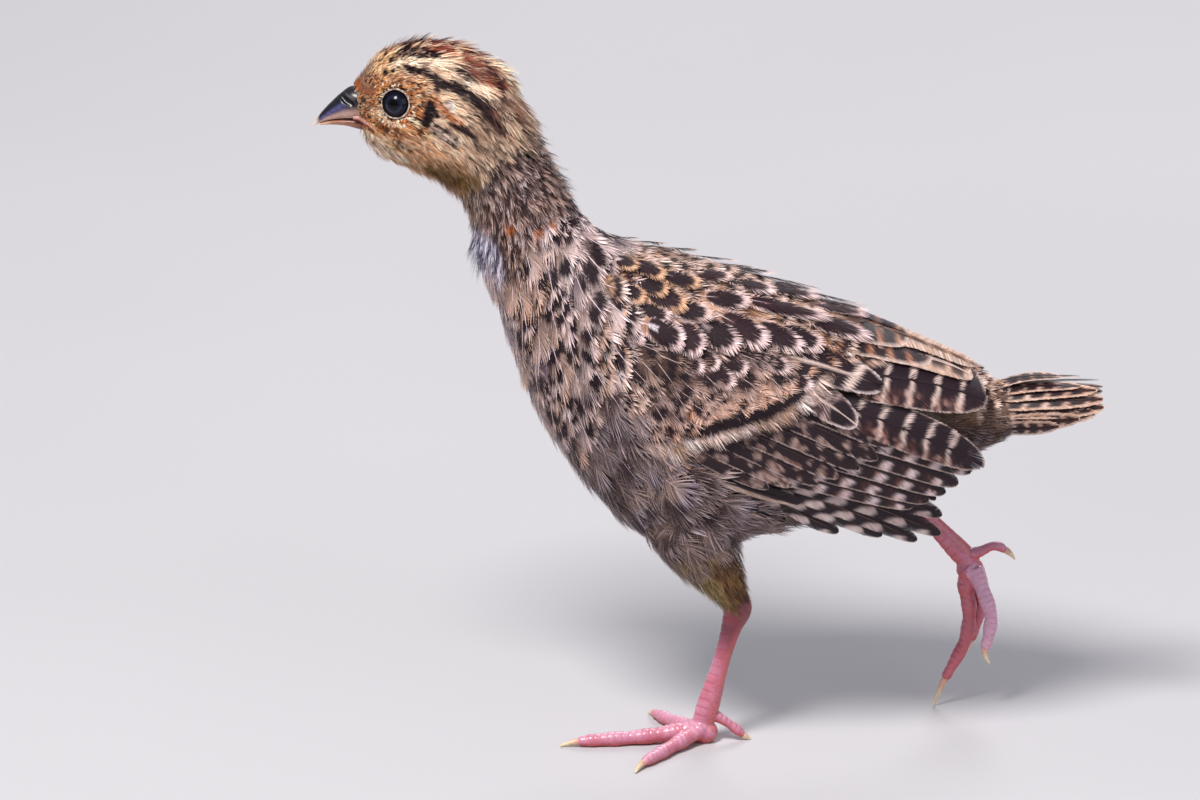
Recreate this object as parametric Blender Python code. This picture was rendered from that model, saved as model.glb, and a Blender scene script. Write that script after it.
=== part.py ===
"""A common pheasant poult of about four weeks, standing on its left foot in mid stride.

Lengths are in mm and are built in metres. The bird looks along -X, its left side faces -Y, and it
stands on z = 0. It is drawn with y = 0 on the bird's middle plane, and is then moved sideways, so
that the origin lies at the middle of the standing foot's sole.
"""

import math

import bmesh
import bpy
import numpy as np
from mathutils import Matrix, Vector

MM = 0.001
# The gap left between an insert and its socket, and between the body and what lies on it.
GAP = 0.3
TOUCH = 0.45
SHARP_ANGLE = 40.0
# A limb that runs more sideways than this is laid out from another side.
SIDEWAYS = 0.7

# Side outline from the tail root to the face, as back x, back z, belly x, belly z and half width.
BODY_STATIONS = (
    (93.0, 103.0, 93.0, 93.0, 4.0),
    (83.0, 107.5, 84.5, 88.0, 9.0),
    (66.0, 114.5, 69.0, 81.0, 16.5),
    (46.0, 124.0, 47.0, 71.5, 21.5),
    (26.0, 133.0, 24.5, 63.5, 24.5),
    (8.0, 140.0, 1.0, 56.5, 25.5),
    (-10.0, 144.0, -18.5, 61.0, 26.0),
    (-22.0, 147.5, -35.5, 79.0, 25.0),
    (-30.5, 152.5, -48.5, 100.5, 21.5),
    (-36.5, 159.0, -57.0, 124.0, 16.5),
    (-41.0, 168.0, -63.5, 143.0, 13.4),
    (-45.5, 177.0, -67.0, 158.0, 12.4),
    (-52.0, 188.0, -73.0, 167.0, 12.6),
    (-58.0, 200.0, -82.0, 171.5, 13.4),
    (-75.5, 207.8, -90.0, 175.0, 12.6),
    (-90.5, 205.0, -94.5, 179.0, 9.3),
    (-97.5, 197.5, -96.0, 182.5, 6.2),
    (-99.3, 194.5, -97.3, 184.5, 4.0),
)
BODY_SIDES = 24
BODY_RINGS = 62
BODY_SQUARE = 0.92
BELLY_FULLNESS = 0.07
# Lines of the side view along which the body is cut into its nodes.
TAIL_CUT = ((79.5, 111.0), (81.5, 81.0))
NECK_CUT = ((-33.5, 156.0), (-53.0, 112.0))
HEAD_CUT = ((-46.5, 180.0), (-70.0, 163.0))

# Upper and lower bill from the face to the tip, as top x, top z, bottom x, bottom z, half width.
UPPER_BILL = (
    (-95.5, 194.6, -92.6, 185.6, 5.2),
    (-99.5, 194.7, -96.5, 186.1, 4.6),
    (-102.2, 193.0, -100.0, 186.1, 3.8),
    (-105.0, 190.4, -103.5, 185.8, 2.9),
    (-107.8, 187.4, -106.8, 185.0, 1.8),
    (-109.6, 184.9, -109.2, 183.8, 0.8),
    (-110.5, 183.5, -110.4, 183.1, 0.35),
)
LOWER_BILL = (
    (-92.6, 185.3, -92.6, 182.3, 4.9),
    (-97.0, 185.8, -97.0, 182.6, 4.0),
    (-101.0, 185.8, -101.0, 183.6, 3.2),
    (-105.0, 185.3, -105.0, 183.8, 2.2),
    (-108.4, 184.2, -108.5, 183.5, 1.1),
)
BILL_SIDES = 14
BILL_SQUARE = 0.85
NOSTRIL_AT = (-101.0, 3.6, 191.6)
NOSTRIL_SIZE = (2.0, 1.0, 0.8)
NOSTRIL_TURN = -30.0

# Eyes and ears: their places in the side view, and their sizes.
EYE_AT = (-87.0, 193.3)
EYE_RADIUS = 4.3
EYE_PROUD = 1.25
LID_RADIUS = 3.95
LID_THICK = 0.85
LID_PROUD = 0.15
LID_AROUND = 18
LID_SIDES = 6
EAR_AT = (-76.9, 189.7)
EAR_SIZE = (1.6, 1.8, 2.4)
EAR_TURN = 20.0

# Outer surface of the folded wings: its half width, where it is widest, how far it reaches along
# and below, and its roundness.
WING_HALF_WIDTH = 32.0
WING_WIDEST_X = 2.0
WING_REACH = 110.0
WING_TAPER = 0.8
WING_END = 0.02
WING_MIDDLE_Z = 97.5
WING_FRONT_X = -5.0
WING_FRONT_RISE = 0.45
WING_BELOW = 56.0
WING_ROUND = 2.1
# Height of the wings' upper ridge, as the factors of 1, x and x squared.
RIDGE = (142.5, -0.315, -0.0011)
RIDGE_TURN = 0.08
RIM_SHARE = 0.998
NORMAL_STEP = 0.01

# Upper and lower edge of the wing's core from the shoulder backwards, as x, z, and its rings.
CORE_TOP = ((-30.0, 135.0), (-12.0, 137.5), (12.0, 134.5), (34.0, 126.5), (50.0, 120.0))
CORE_BOTTOM = ((-29.0, 124.6), (-19.0, 104.6), (-8.5, 87.0), (16.0, 83.0), (46.0, 95.0))
CORE_STEPS = 14
CORE_SPREAD = 11
CORE_EDGE = 1.0
CORE_DEEP = 10.0
CORE_BELLY = 0.6
CORE_END = 0.6
# The line of the side view behind which the core lies lower, under the feathers: how wide that
# step is, and the depths on its two sides.
STEP_LINE = ((-13.5, 99.1), (34.0, 121.0))
STEP_WIDTH = 7.0
CORE_SUNK = (0.4, 3.8)

# Feathers of a wing, the lowest layer first: how many, the depths of the roots and of the outer
# halves under the outer surface, and rows from the lowest feather to the highest, as root x,
# root z, tip x, tip z, half width and bow.
PRIMARIES = (9, 3.6, 4.0, (
    (-5.5, 86.5, 22.1, 69.9, 2.3, 1.2),
    (-2.0, 87.6, 39.8, 66.9, 2.4, 2.0),
    (3.0, 88.6, 56.4, 62.8, 2.5, 2.5),
    (8.0, 89.8, 68.0, 62.0, 2.6, 3.0),
    (13.0, 91.5, 69.8, 70.7, 2.8, 2.5),
))
SECONDARIES = (6, 2.5, 2.15, (
    (-1.0, 92.6, 57.7, 74.5, 3.0, 2.2),
    (13.4, 99.0, 69.0, 78.0, 3.2, 2.2),
    (27.5, 104.1, 78.0, 84.5, 3.4, 2.0),
))
ALULA = (1, 2.4, 2.2, (
    (-9.0, 92.5, 29.4, 76.6, 2.4, -1.5),
    (-7.0, 95.0, 22.0, 82.0, 2.2, -1.0),
))
GREATER_COVERTS = (6, 1.5, 0.45, (
    (-8.5, 98.0, 19.1, 83.8, 3.2, 1.0),
    (6.0, 104.0, 39.0, 86.4, 3.6, 1.5),
    (23.0, 111.5, 55.0, 95.0, 4.0, 1.5),
))
TERTIALS = (4, 0.8, 0.1, (
    (31.8, 112.0, 80.0, 88.2, 7.4, 1.2),
    (38.9, 118.2, 80.9, 105.0, 6.6, 1.8),
    (37.0, 122.0, 69.0, 114.5, 4.6, 1.0),
    (43.0, 124.6, 79.2, 110.6, 2.9, 0.4),
))
WING_TIERS = (PRIMARIES, SECONDARIES, ALULA, GREATER_COVERTS, TERTIALS)

# Shape of every vane: places along it, each with its shares of the half width and of the tilt.
VANE_SHAPE = (
    (0.0, 0.4, 0.0),
    (0.32, 0.96, 0.5),
    (0.72, 1.0, 1.0),
    (0.93, 0.8, 1.0),
    (1.0, 0.32, 0.8),
)
VANE_THICK = 0.52
VANE_TILT = 0.66
VANE_SUNK = 4.7
VANE_SPREAD = 2.0
VANE_PLUNGE = 3.0
TIP_STRAY = 0.35
WIDTH_STRAY = 0.05
WING_SEEDS = (5, 9)

# Tail feathers of one side: how many, the tips from the middle pair outwards as x, y, z, the
# middle and the half sizes of the arc that holds the roots, and its first and last angle.
TAIL_COUNT = 7
TAIL_TIPS = (
    (102.0, 1.3, 107.4),
    (112.3, 4.2, 105.0),
    (115.0, 6.2, 101.4),
    (112.0, 7.4, 98.6),
    (102.0, 7.8, 95.2),
)
TAIL_ROOT = (85.0, 97.6)
TAIL_ARC = (5.6, 7.4)
TAIL_TURNS = (8.0, 128.0)
TAIL_BOW = 1.3
TAIL_BOW_LOSS = 0.5
TAIL_HALF = 2.7
TAIL_TILT = 0.8
TAIL_SEED = 3

# The middle of the standing foot's sole, and the pads under the joints of the feet: half sizes,
# the height of the standing one, and how far the trailing one lies below its joint.
SOLE_AT = (0.0, -11.0)
FOOT_PAD = (4.0, 3.4, 3.6)
PAD_HEIGHT = 3.0
PAD_DROP = 2.0

# Each leg: the knee end of the feathered thigh, the hock, and the foot joint, as x, y, z, and the
# share of the way to the hock that is feathered.
LEFT_LEG = {"knee": (-4.0, -13.0, 68.0), "hock": (10.4, -11.0, 41.8), "foot": (0.8, -11.0, 7.0)}
RIGHT_LEG = {"knee": (20.0, 14.5, 84.0), "hock": (52.8, 14.5, 72.7), "foot": (77.6, 15.0, 45.2)}
LEFT_REACH = 0.93
RIGHT_REACH = 0.86
THIGH_RADII = (12.5, 10.5, 7.4, 3.9)
THIGH_SIDES = 16
# The bare shank: where it starts on the way from knee to hock, and its rings from hock to foot.
TARSUS_RADII = (3.6, 4.2, 3.0, 2.5, 2.5, 2.9, 3.3)
TARSUS_SIDES = 12
TARSUS_FLAT = 0.8
TARSUS_START = 0.86
HOCK_SHARE = 0.02
FOOT_DROP = 0.86
# The stem of a foot: places up and down from the joint, its radii, sides and narrowness.
STEM_PLACES = (0.6, -2.4)
STEM_RADII = (3.3, 3.4, 2.4)
STEM_SIDES = 12
STEM_FLAT = 0.85

# Toes of each foot: five points from the joint to the claw's root, then the claw's tip.
TOE_POINTS = 5
LEFT_TOES = {
    "middle": (
        (0.5, -11.0, 4.6), (-8.0, -12.0, 3.0), (-18.0, -13.4, 2.2),
        (-28.0, -14.6, 1.9), (-34.6, -15.2, 1.6), (-40.6, -15.8, 0.4),
    ),
    "outer": (
        (0.5, -11.5, 4.4), (-4.5, -16.0, 2.8), (-9.2, -21.6, 2.1),
        (-13.2, -27.0, 1.8), (-16.2, -31.0, 1.6), (-19.0, -36.5, 0.4),
    ),
    "inner": (
        (0.5, -10.5, 4.4), (-4.0, -6.0, 2.8), (-8.0, -1.0, 2.1),
        (-11.0, 3.4, 1.8), (-13.0, 6.6, 1.6), (-15.0, 10.0, 0.4),
    ),
    "hind": (
        (2.6, -10.6, 8.6), (5.6, -10.6, 6.8), (8.4, -10.4, 4.8),
        (10.4, -10.2, 3.0), (11.8, -10.0, 1.8), (14.2, -9.8, 0.3),
    ),
}
RIGHT_TOES = {
    "middle": (
        (77.0, 15.2, 45.0), (76.6, 15.6, 37.5), (77.6, 16.0, 29.5),
        (76.4, 16.2, 20.5), (71.2, 16.4, 9.6), (67.6, 16.6, 0.3),
    ),
    "outer": (
        (78.6, 16.8, 43.5), (80.8, 18.6, 37.5), (80.6, 19.8, 31.0),
        (79.6, 20.6, 24.6), (78.4, 21.2, 19.6), (77.0, 21.6, 14.8),
    ),
    "inner": (
        (78.6, 13.8, 44.0), (81.4, 12.6, 37.0), (83.6, 12.0, 30.0),
        (83.2, 11.6, 24.6), (82.2, 11.4, 20.6), (83.4, 11.2, 15.4),
    ),
    "hind": (
        (78.2, 14.4, 48.0), (80.8, 14.0, 49.0), (83.4, 13.8, 50.4),
        (85.6, 13.7, 50.6), (87.4, 13.7, 49.6), (90.4, 13.6, 46.6),
    ),
}
TOE_RADII = {
    "middle": (2.6, 2.5, 2.1, 2.0, 1.5),
    "outer": (2.5, 2.3, 2.0, 1.9, 1.4),
    "inner": (2.4, 2.2, 2.0, 1.8, 1.4),
    "hind": (1.7, 1.5, 1.4, 1.4, 1.1),
}
TOE_SIDES = 10
CLAW_PLACES = (0.0, 0.3, 0.65, 1.0)
CLAW_RADII = (1.0, 0.9, 0.6, 0.28)
CLAW_BEND = 0.45
CLAW_SIDES = 8

# Colour and roughness of every material.
COLOURS = {
    "feather": ((0.42, 0.34, 0.27), 0.8),
    "wing": ((0.27, 0.20, 0.16), 0.75),
    "face": ((0.62, 0.42, 0.25), 0.8),
    "bill": ((0.24, 0.20, 0.24), 0.4),
    "eye": ((0.03, 0.03, 0.05), 0.1),
    "leg": ((0.72, 0.33, 0.36), 0.5),
    "claw": ((0.75, 0.58, 0.47), 0.45),
}


def clear_scene():
    for item in list(bpy.data.objects):
        bpy.data.objects.remove(item)


def material(name):
    found = bpy.data.materials.get(name)
    if found:
        return found
    colour, rough = COLOURS[name]
    made = bpy.data.materials.new(name)
    made.use_nodes = True
    shader = made.node_tree.nodes["Principled BSDF"]
    shader.inputs["Base Color"].default_value = (*colour, 1.0)
    shader.inputs["Roughness"].default_value = rough
    return made


def repaint(item, look):
    item.data.materials.clear()
    item.data.materials.append(material(look))


def add_mesh(name, points, faces, look):
    """An object from points in mm and faces, linked to the scene."""
    mesh = bpy.data.meshes.new(name)
    mesh.from_pydata([tuple(v * MM for v in p) for p in points], [], faces)
    mesh.update()
    mesh.materials.append(material(look))
    item = bpy.data.objects.new(name, mesh)
    bpy.context.scene.collection.objects.link(item)
    return item


def curve_row(rows, place):
    """The row at a place from 0 to 1 on a Catmull-Rom curve through rows."""
    rows = np.asarray(rows, float)
    last = len(rows) - 1
    reach = min(max(place, 0.0), 1.0) * last
    i = min(int(reach), last - 1)
    f = reach - i
    a, b = rows[i], rows[i + 1]
    before = rows[i - 1] if i else 2 * a - b
    after = rows[i + 2] if i + 2 <= last else 2 * b - a
    cubic = -before + 3 * a - 3 * b + after
    square = 2 * before - 5 * a + 4 * b - after
    return 0.5 * (2 * a + (b - before) * f + square * f * f + cubic * f**3)


def section(row, sides, grow=0.0, square=1.0, fullness=0.0):
    """One ring of a body or bill: an oval between two points of the side outline."""
    top, bottom = np.array([row[0], row[1]]), np.array([row[2], row[3]])
    middle, half = (top + bottom) / 2, (top - bottom) / 2
    half = half * (1 + grow / max(np.linalg.norm(half), 1e-6))
    ring = []
    for k in range(sides):
        turn = 2 * math.pi * k / sides
        c, s = math.cos(turn), math.sin(turn)
        x, z = middle + half * c
        wide = (row[4] + grow) * (1 - fullness * c)
        ring.append((x, math.copysign(abs(s) ** square, s) * wide, z))
    return ring


def loft(rings):
    """Points and faces of a closed form through rings of equally many points."""
    sides = len(rings[0])
    points = [p for ring in rings for p in ring]
    faces = []
    for i in range(len(rings) - 1):
        for k in range(sides):
            a, b = i * sides + k, i * sides + (k + 1) % sides
            faces.append((a, b, b + sides, a + sides))
    faces.append(tuple(reversed(range(sides))))
    faces.append(tuple(range((len(rings) - 1) * sides, len(points))))
    return points, faces


def face_out(item):
    """Turns every face of a closed mesh outwards."""
    bm = bmesh.new()
    bm.from_mesh(item.data)
    bmesh.ops.recalc_face_normals(bm, faces=bm.faces)
    if bm.calc_volume(signed=True) < 0:
        bmesh.ops.reverse_faces(bm, faces=bm.faces)
    bm.to_mesh(item.data)
    bm.free()
    return item


def lofted(name, rings, look):
    return face_out(add_mesh(name, *loft(rings), look))


def body_whole(name, grow=0.0):
    """The whole bird from tail root to face in one form, grown outwards by some mm."""
    rings = []
    for i in range(BODY_RINGS):
        row = curve_row(BODY_STATIONS, i / (BODY_RINGS - 1))
        rings.append(section(row, BODY_SIDES, grow, BODY_SQUARE, BELLY_FULLNESS))
    return lofted(name, rings, "feather")


def cut_side(item, line, keep_front):
    """Keeps one side of the plane through a line of the side view, and closes the cut."""
    (ax, az), (bx, bz) = line
    normal = Vector((az - bz, 0.0, bx - ax)).normalized()
    if normal.x > 0:
        normal = -normal
    toward = normal if keep_front else -normal
    middle = Vector(((ax + bx) / 2, 0.0, (az + bz) / 2)) + toward * GAP / 2
    return cut_plane(item, middle * MM, toward)


def cut_plane(item, point, toward):
    """Keeps what lies on the side of a plane that toward points to, and closes the cut."""
    bm = bmesh.new()
    bm.from_mesh(item.data)
    everything = bm.verts[:] + bm.edges[:] + bm.faces[:]
    bmesh.ops.bisect_plane(
        bm, geom=everything, dist=1e-7, plane_co=point, plane_no=toward, clear_inner=True
    )
    rim = [e for e in bm.edges if e.is_boundary]
    bmesh.ops.holes_fill(bm, edges=rim, sides=0)
    bm.to_mesh(item.data)
    bm.free()
    return face_out(item)


def copy_of(item, name):
    made = item.copy()
    made.data = item.data.copy()
    made.name = name
    bpy.context.scene.collection.objects.link(made)
    return made


def applied(item):
    """Bakes an object's modifiers into its mesh."""
    graph = bpy.context.evaluated_depsgraph_get()
    graph.update()
    mesh = bpy.data.meshes.new_from_object(item.evaluated_get(graph))
    item.modifiers.clear()
    old, item.data = item.data, mesh
    bpy.data.meshes.remove(old)
    return item


def joined(item, pieces, solver="EXACT"):
    """Item with the pieces fused to it. The pieces are removed."""
    group = bpy.data.collections.new("pieces")
    bpy.context.scene.collection.children.link(group)
    for piece in pieces:
        group.objects.link(piece)
        bpy.context.scene.collection.objects.unlink(piece)
    fuse = item.modifiers.new("fuse", "BOOLEAN")
    fuse.operation = "UNION"
    fuse.operand_type = "COLLECTION"
    fuse.collection = group
    fuse.solver = solver
    applied(item)
    for piece in list(group.objects):
        bpy.data.objects.remove(piece)
    bpy.data.collections.remove(group)
    return largest(item)


def carved(item, cutters, solver="EXACT"):
    """Item with the cutters' shapes taken out. The cutters are removed."""
    for cutter in cutters:
        cut = item.modifiers.new("cut", "BOOLEAN")
        cut.operation = "DIFFERENCE"
        cut.object = cutter
        cut.solver = solver
        applied(item)
        bpy.data.objects.remove(cutter)
    return largest(item)


def largest(item):
    """Keeps only the largest closed surface of an object."""
    bm = bmesh.new()
    bm.from_mesh(item.data)
    bm.faces.ensure_lookup_table()
    left = set(bm.faces)
    groups = []
    while left:
        seed = left.pop()
        group, edge = [seed], [seed]
        while edge:
            face = edge.pop()
            for e in face.edges:
                for other in e.link_faces:
                    if other in left:
                        left.discard(other)
                        group.append(other)
                        edge.append(other)
        groups.append(group)
    groups.sort(key=lambda g: sum(f.calc_area() for f in g))
    waste = [f for g in groups[:-1] for f in g]
    bmesh.ops.delete(bm, geom=waste, context="FACES")
    bmesh.ops.delete(bm, geom=[v for v in bm.verts if not v.link_faces], context="VERTS")
    bm.to_mesh(item.data)
    bm.free()
    return item


def ball(name, centre, size, look="feather", turn=0.0, detail=3):
    """An ellipsoid with half sizes in mm, turned about Y by some degrees."""
    bm = bmesh.new()
    bmesh.ops.create_icosphere(bm, subdivisions=detail, radius=1.0)
    move = Matrix.Translation(Vector(centre)) @ Matrix.Rotation(math.radians(turn), 4, "Y")
    bmesh.ops.transform(bm, matrix=move @ Matrix.Diagonal((*size, 1.0)), verts=bm.verts)
    points = [tuple(v.co) for v in bm.verts]
    faces = [tuple(v.index for v in f.verts) for f in bm.faces]
    bm.free()
    return face_out(add_mesh(name, points, faces, look))


def tube(name, path, radii, sides, look, flat=1.0):
    """A limb along path, with a radius for each point. flat below 1 makes it narrower across."""
    path = [Vector(p) for p in path]
    run = (path[-1] - path[0]).normalized()
    side = Vector((0, 1, 0)) if abs(run.y) < SIDEWAYS else Vector((1, 0, 0))
    rings = []
    for i, point in enumerate(path):
        along = (path[min(i + 1, len(path) - 1)] - path[max(i - 1, 0)]).normalized()
        side = (side - along * side.dot(along)).normalized()
        up = along.cross(side)
        ring = []
        for k in range(sides):
            turn = 2 * math.pi * k / sides
            out = side * math.cos(turn) * flat + up * math.sin(turn)
            ring.append(tuple(point + out * radii[i]))
        rings.append(ring)
    return lofted(name, rings, look)


def between(a, b, share):
    return tuple(np.array(a) + (np.array(b) - np.array(a)) * share)


def skin_y(form, x, z):
    """Distance in mm from the middle plane to the side of a form, at a place of the side view."""
    hit, place, _, _ = form.ray_cast(Vector((x, 100.0, z)) * MM, Vector((0, -1, 0)))
    return place.y / MM if hit else 0.0


def build_body():
    """Head, neck, torso and the tail's fleshy root, cut from one form."""
    whole = body_whole("whole")
    head = cut_side(copy_of(whole, "head"), HEAD_CUT, True)
    neck = cut_side(copy_of(whole, "neck"), HEAD_CUT, False)
    cut_side(neck, NECK_CUT, True)
    torso = cut_side(copy_of(whole, "torso"), NECK_CUT, False)
    cut_side(torso, TAIL_CUT, True)
    rump = cut_side(copy_of(whole, "tail"), TAIL_CUT, False)
    bpy.data.objects.remove(whole)
    return head, neck, torso, rump


def build_head(head):
    """Adds lids round each eye, opens the sockets and ear pits, and makes the eyeballs."""
    skin = skin_y(head, *EYE_AT)
    ear_skin = skin_y(head, *EAR_AT)
    lids, sockets = [], []
    for side, sign in (("left", -1), ("right", 1)):
        centre = (EYE_AT[0], sign * (skin + EYE_PROUD - EYE_RADIUS), EYE_AT[1])
        lids.append(lid(f"lid_{side}", (EYE_AT[0], sign * (skin + LID_PROUD), EYE_AT[1])))
        sockets.append(ball("socket", centre, (EYE_RADIUS + GAP,) * 3))
        ear = (EAR_AT[0], sign * ear_skin, EAR_AT[1])
        sockets.append(ball("ear", ear, EAR_SIZE, turn=EAR_TURN, detail=2))
        ball(f"eye_{side}", centre, (EYE_RADIUS,) * 3, "eye")
    joined(head, lids)
    carved(head, sockets)
    repaint(head, "face")


def lid(name, centre):
    """A ring round the eye, lying in the side plane."""
    points, faces = [], []
    for i in range(LID_AROUND):
        turn = 2 * math.pi * i / LID_AROUND
        here, beyond = i * LID_SIDES, (i + 1) % LID_AROUND * LID_SIDES
        for k in range(LID_SIDES):
            roll = 2 * math.pi * k / LID_SIDES
            reach = LID_RADIUS + LID_THICK * math.cos(roll)
            x = centre[0] + reach * math.cos(turn)
            y = centre[1] + LID_THICK * math.sin(roll)
            points.append((x, y, centre[2] + reach * math.sin(turn)))
            m = (k + 1) % LID_SIDES
            faces.append((here + k, here + m, beyond + m, beyond + k))
    return face_out(add_mesh(name, points, faces, "face"))


def bill_half(name, rows, grow=0.0):
    rings = [section(row, BILL_SIDES, grow, BILL_SQUARE) for row in rows]
    return lofted(name, rings, "bill")


def build_bill(head):
    """Both halves of the bill, set into sockets of the face."""
    for name, rows in (("bill_upper", UPPER_BILL), ("bill_lower", LOWER_BILL)):
        bill_half(name, rows)
        root = np.array(rows[0]) + np.array((GAP, 0, GAP, 0, 0))
        carved(head, [bill_half("socket", (tuple(root), *rows[1:4]), GAP)])
    slots = []
    x, y, z = NOSTRIL_AT
    for sign in (-1, 1):
        slots.append(ball("slot", (x, sign * y, z), NOSTRIL_SIZE, turn=NOSTRIL_TURN, detail=2))
    carved(bpy.data.objects["bill_upper"], slots)


def wing_size(x):
    """Half width and middle height of the wings' outer surface, and its reach above and below."""
    along = max(1 - ((x - WING_WIDEST_X) / WING_REACH) ** 2, WING_END)
    middle = WING_MIDDLE_Z + WING_FRONT_RISE * max(0.0, WING_FRONT_X - x)
    ridge = RIDGE[0] + RIDGE[1] * x + RIDGE[2] * x * x
    return WING_HALF_WIDTH * along**WING_TAPER, middle, ridge - middle, WING_BELOW


def wing_turn(x, z):
    """Angle round that surface, from 0 on the ridge of the back, for a place of the side view."""
    _, middle, above, below = wing_size(x)
    share = (z - middle) / (above if z > middle else below)
    return math.acos(math.copysign(min(abs(share), RIM_SHARE) ** (WING_ROUND / 2), share))


def wing_point(x, turn):
    half, middle, above, below = wing_size(x)
    c, s = math.cos(turn), math.sin(turn)
    rise = math.copysign(abs(c) ** (2 / WING_ROUND), c) * (above if c > 0 else below)
    return Vector((x, half * math.copysign(abs(s) ** (2 / WING_ROUND), s), middle + rise))


def wing_place(x, turn):
    """A place of the wings' outer surface, and its normal."""
    point = wing_point(x, turn)
    normal = (wing_point(x, turn + NORMAL_STEP) - point).cross(wing_point(x + 1, turn) - point)
    normal = normal.normalized()
    return point, -normal if normal.y < 0 else normal


def wing_under(point, depth):
    """The place at a depth under that surface which is nearest to a point, and its normal."""
    half, middle, above, below = wing_size(point.x)
    lift = point.z - middle
    turn = max(math.atan2(point.y / half, lift / (above if lift > 0 else below)), RIDGE_TURN)
    place, normal = wing_place(point.x, turn)
    return place - normal * depth, normal


def smooth(share):
    share = min(max(share, 0.0), 1.0)
    return share * share * (3 - 2 * share)


def core_depth(x, z):
    """Depth of the wing's core under the outer surface: little in front, more under feathers."""
    (ax, az), (bx, bz) = STEP_LINE
    length = math.hypot(bx - ax, bz - az)
    behind = ((x - ax) * (bz - az) - (z - az) * (bx - ax)) / length
    return CORE_SUNK[0] + (CORE_SUNK[1] - CORE_SUNK[0]) * smooth(behind / STEP_WIDTH + 0.5)


def wing_core(name, sign):
    """The smooth fore wing, which also holds the roots of the feathers."""
    rings = []
    for i in range(CORE_STEPS):
        s = i / (CORE_STEPS - 1)
        top, bottom = curve_row(CORE_TOP, s), curve_row(CORE_BOTTOM, s)
        outer, inner = [], []
        for k in range(CORE_SPREAD):
            t = k / (CORE_SPREAD - 1)
            x, z = top + (bottom - top) * t
            belly = (4 * t * (1 - t)) ** CORE_BELLY
            end = 1 - max(0.0, s * (1 + CORE_END) - CORE_END) ** 2
            deep = CORE_EDGE + CORE_DEEP * belly * end
            point, normal = wing_place(x, wing_turn(x, z))
            point = point - normal * core_depth(x, z)
            outer.append((point.x, sign * point.y, point.z))
            inner.append((point.x, sign * (point.y - deep), point.z))
        rings.append(outer + inner[::-1])
    return lofted(name, rings, "wing")


def mirrored(vector, sign):
    return Vector((vector.x, sign * vector.y, vector.z))


def vane(name, rows):
    """A closed thin feather through rows of three places with their normals, from root to tip."""
    points = []
    for row in rows:
        points += [p + n * VANE_THICK / 2 for p, n in row]
        points += [p - n * VANE_THICK / 2 for p, n in reversed(row)]
    faces = [(0, 1, 4, 5), (1, 2, 3, 4)]
    for a in range(0, len(points) - 6, 6):
        b = a + 6
        for k, m in ((0, 5), (1, 4)):
            faces += [(a + k, a + k + 1, b + k + 1), (a + k, b + k + 1, b + k)]
            faces += [(a + m, a + m - 1, b + m - 1), (a + m, b + m - 1, b + m)]
        faces += [(a + 2, a + 3, b + 3), (a + 2, b + 3, b + 2)]
        faces += [(a + 5, a, b), (a + 5, b, b + 5)]
    last = len(points) - 6
    faces += [(last, last + 1, last + 4, last + 5), (last + 1, last + 2, last + 3, last + 4)]
    return face_out(add_mesh(name, points, faces, "wing"))


def wing_vane(row, root_depth, tip_depth, sign):
    """One feather of a folded wing: its root in the core, its lower edge over the next one."""
    root, tip = np.array(row[0:2]), np.array(row[2:4])
    half, bow = row[4], row[5]
    run = tip - root
    up = np.array((-run[1], run[0])) / np.linalg.norm(run)
    spine = []
    for t, _, _ in VANE_SHAPE:
        x, z = root + run * t + up * bow * 4 * t * (1 - t)
        spine.append(wing_place(x, wing_turn(x, z)))
    rows = []
    for i, (t, wide, tilt) in enumerate(VANE_SHAPE):
        point, normal = spine[i]
        along = spine[min(i + 1, len(spine) - 1)][0] - spine[max(i - 1, 0)][0]
        across = along.cross(normal).normalized()
        across = across if across.z > 0 else -across
        depth = root_depth + (tip_depth - root_depth) * smooth(t * VANE_SPREAD)
        depth += (VANE_SUNK - root_depth) * smooth(1 - t * VANE_PLUNGE)
        trio = []
        for u in (-1, 0, 1):
            lean = VANE_TILT * tilt * u
            place, out = wing_under(point + across * (u * half * wide), depth + lean)
            trio.append((mirrored(place, sign), mirrored(out, sign)))
        rows.append(trio)
    return vane("feather", rows)


def build_wings():
    """Both folded wings: a core with the large feathers in tiers, clear of body and legs."""
    for name, sign, seed in zip(("wing_left", "wing_right"), (-1, 1), WING_SEEDS):
        rng = np.random.default_rng(seed)
        wing = wing_core(name, sign)
        feathers = []
        for count, root_depth, tip_depth, rows in WING_TIERS:
            for i in range(count):
                row = curve_row(rows, i / max(count - 1, 1))
                row[2:4] += rng.uniform(-TIP_STRAY, TIP_STRAY, 2)
                row[4] *= 1 + rng.uniform(-WIDTH_STRAY, WIDTH_STRAY)
                feathers.append(wing_vane(row, root_depth, tip_depth, sign))
        joined(wing, feathers, "MANIFOLD")
        rooms = [body_whole("room", TOUCH)]
        if sign > 0:
            rooms.append(thigh_form("room", RIGHT_LEG, RIGHT_REACH, TOUCH))
            rooms.append(shank_form("room", RIGHT_LEG, TOUCH))
        carved(wing, rooms, "MANIFOLD")


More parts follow.
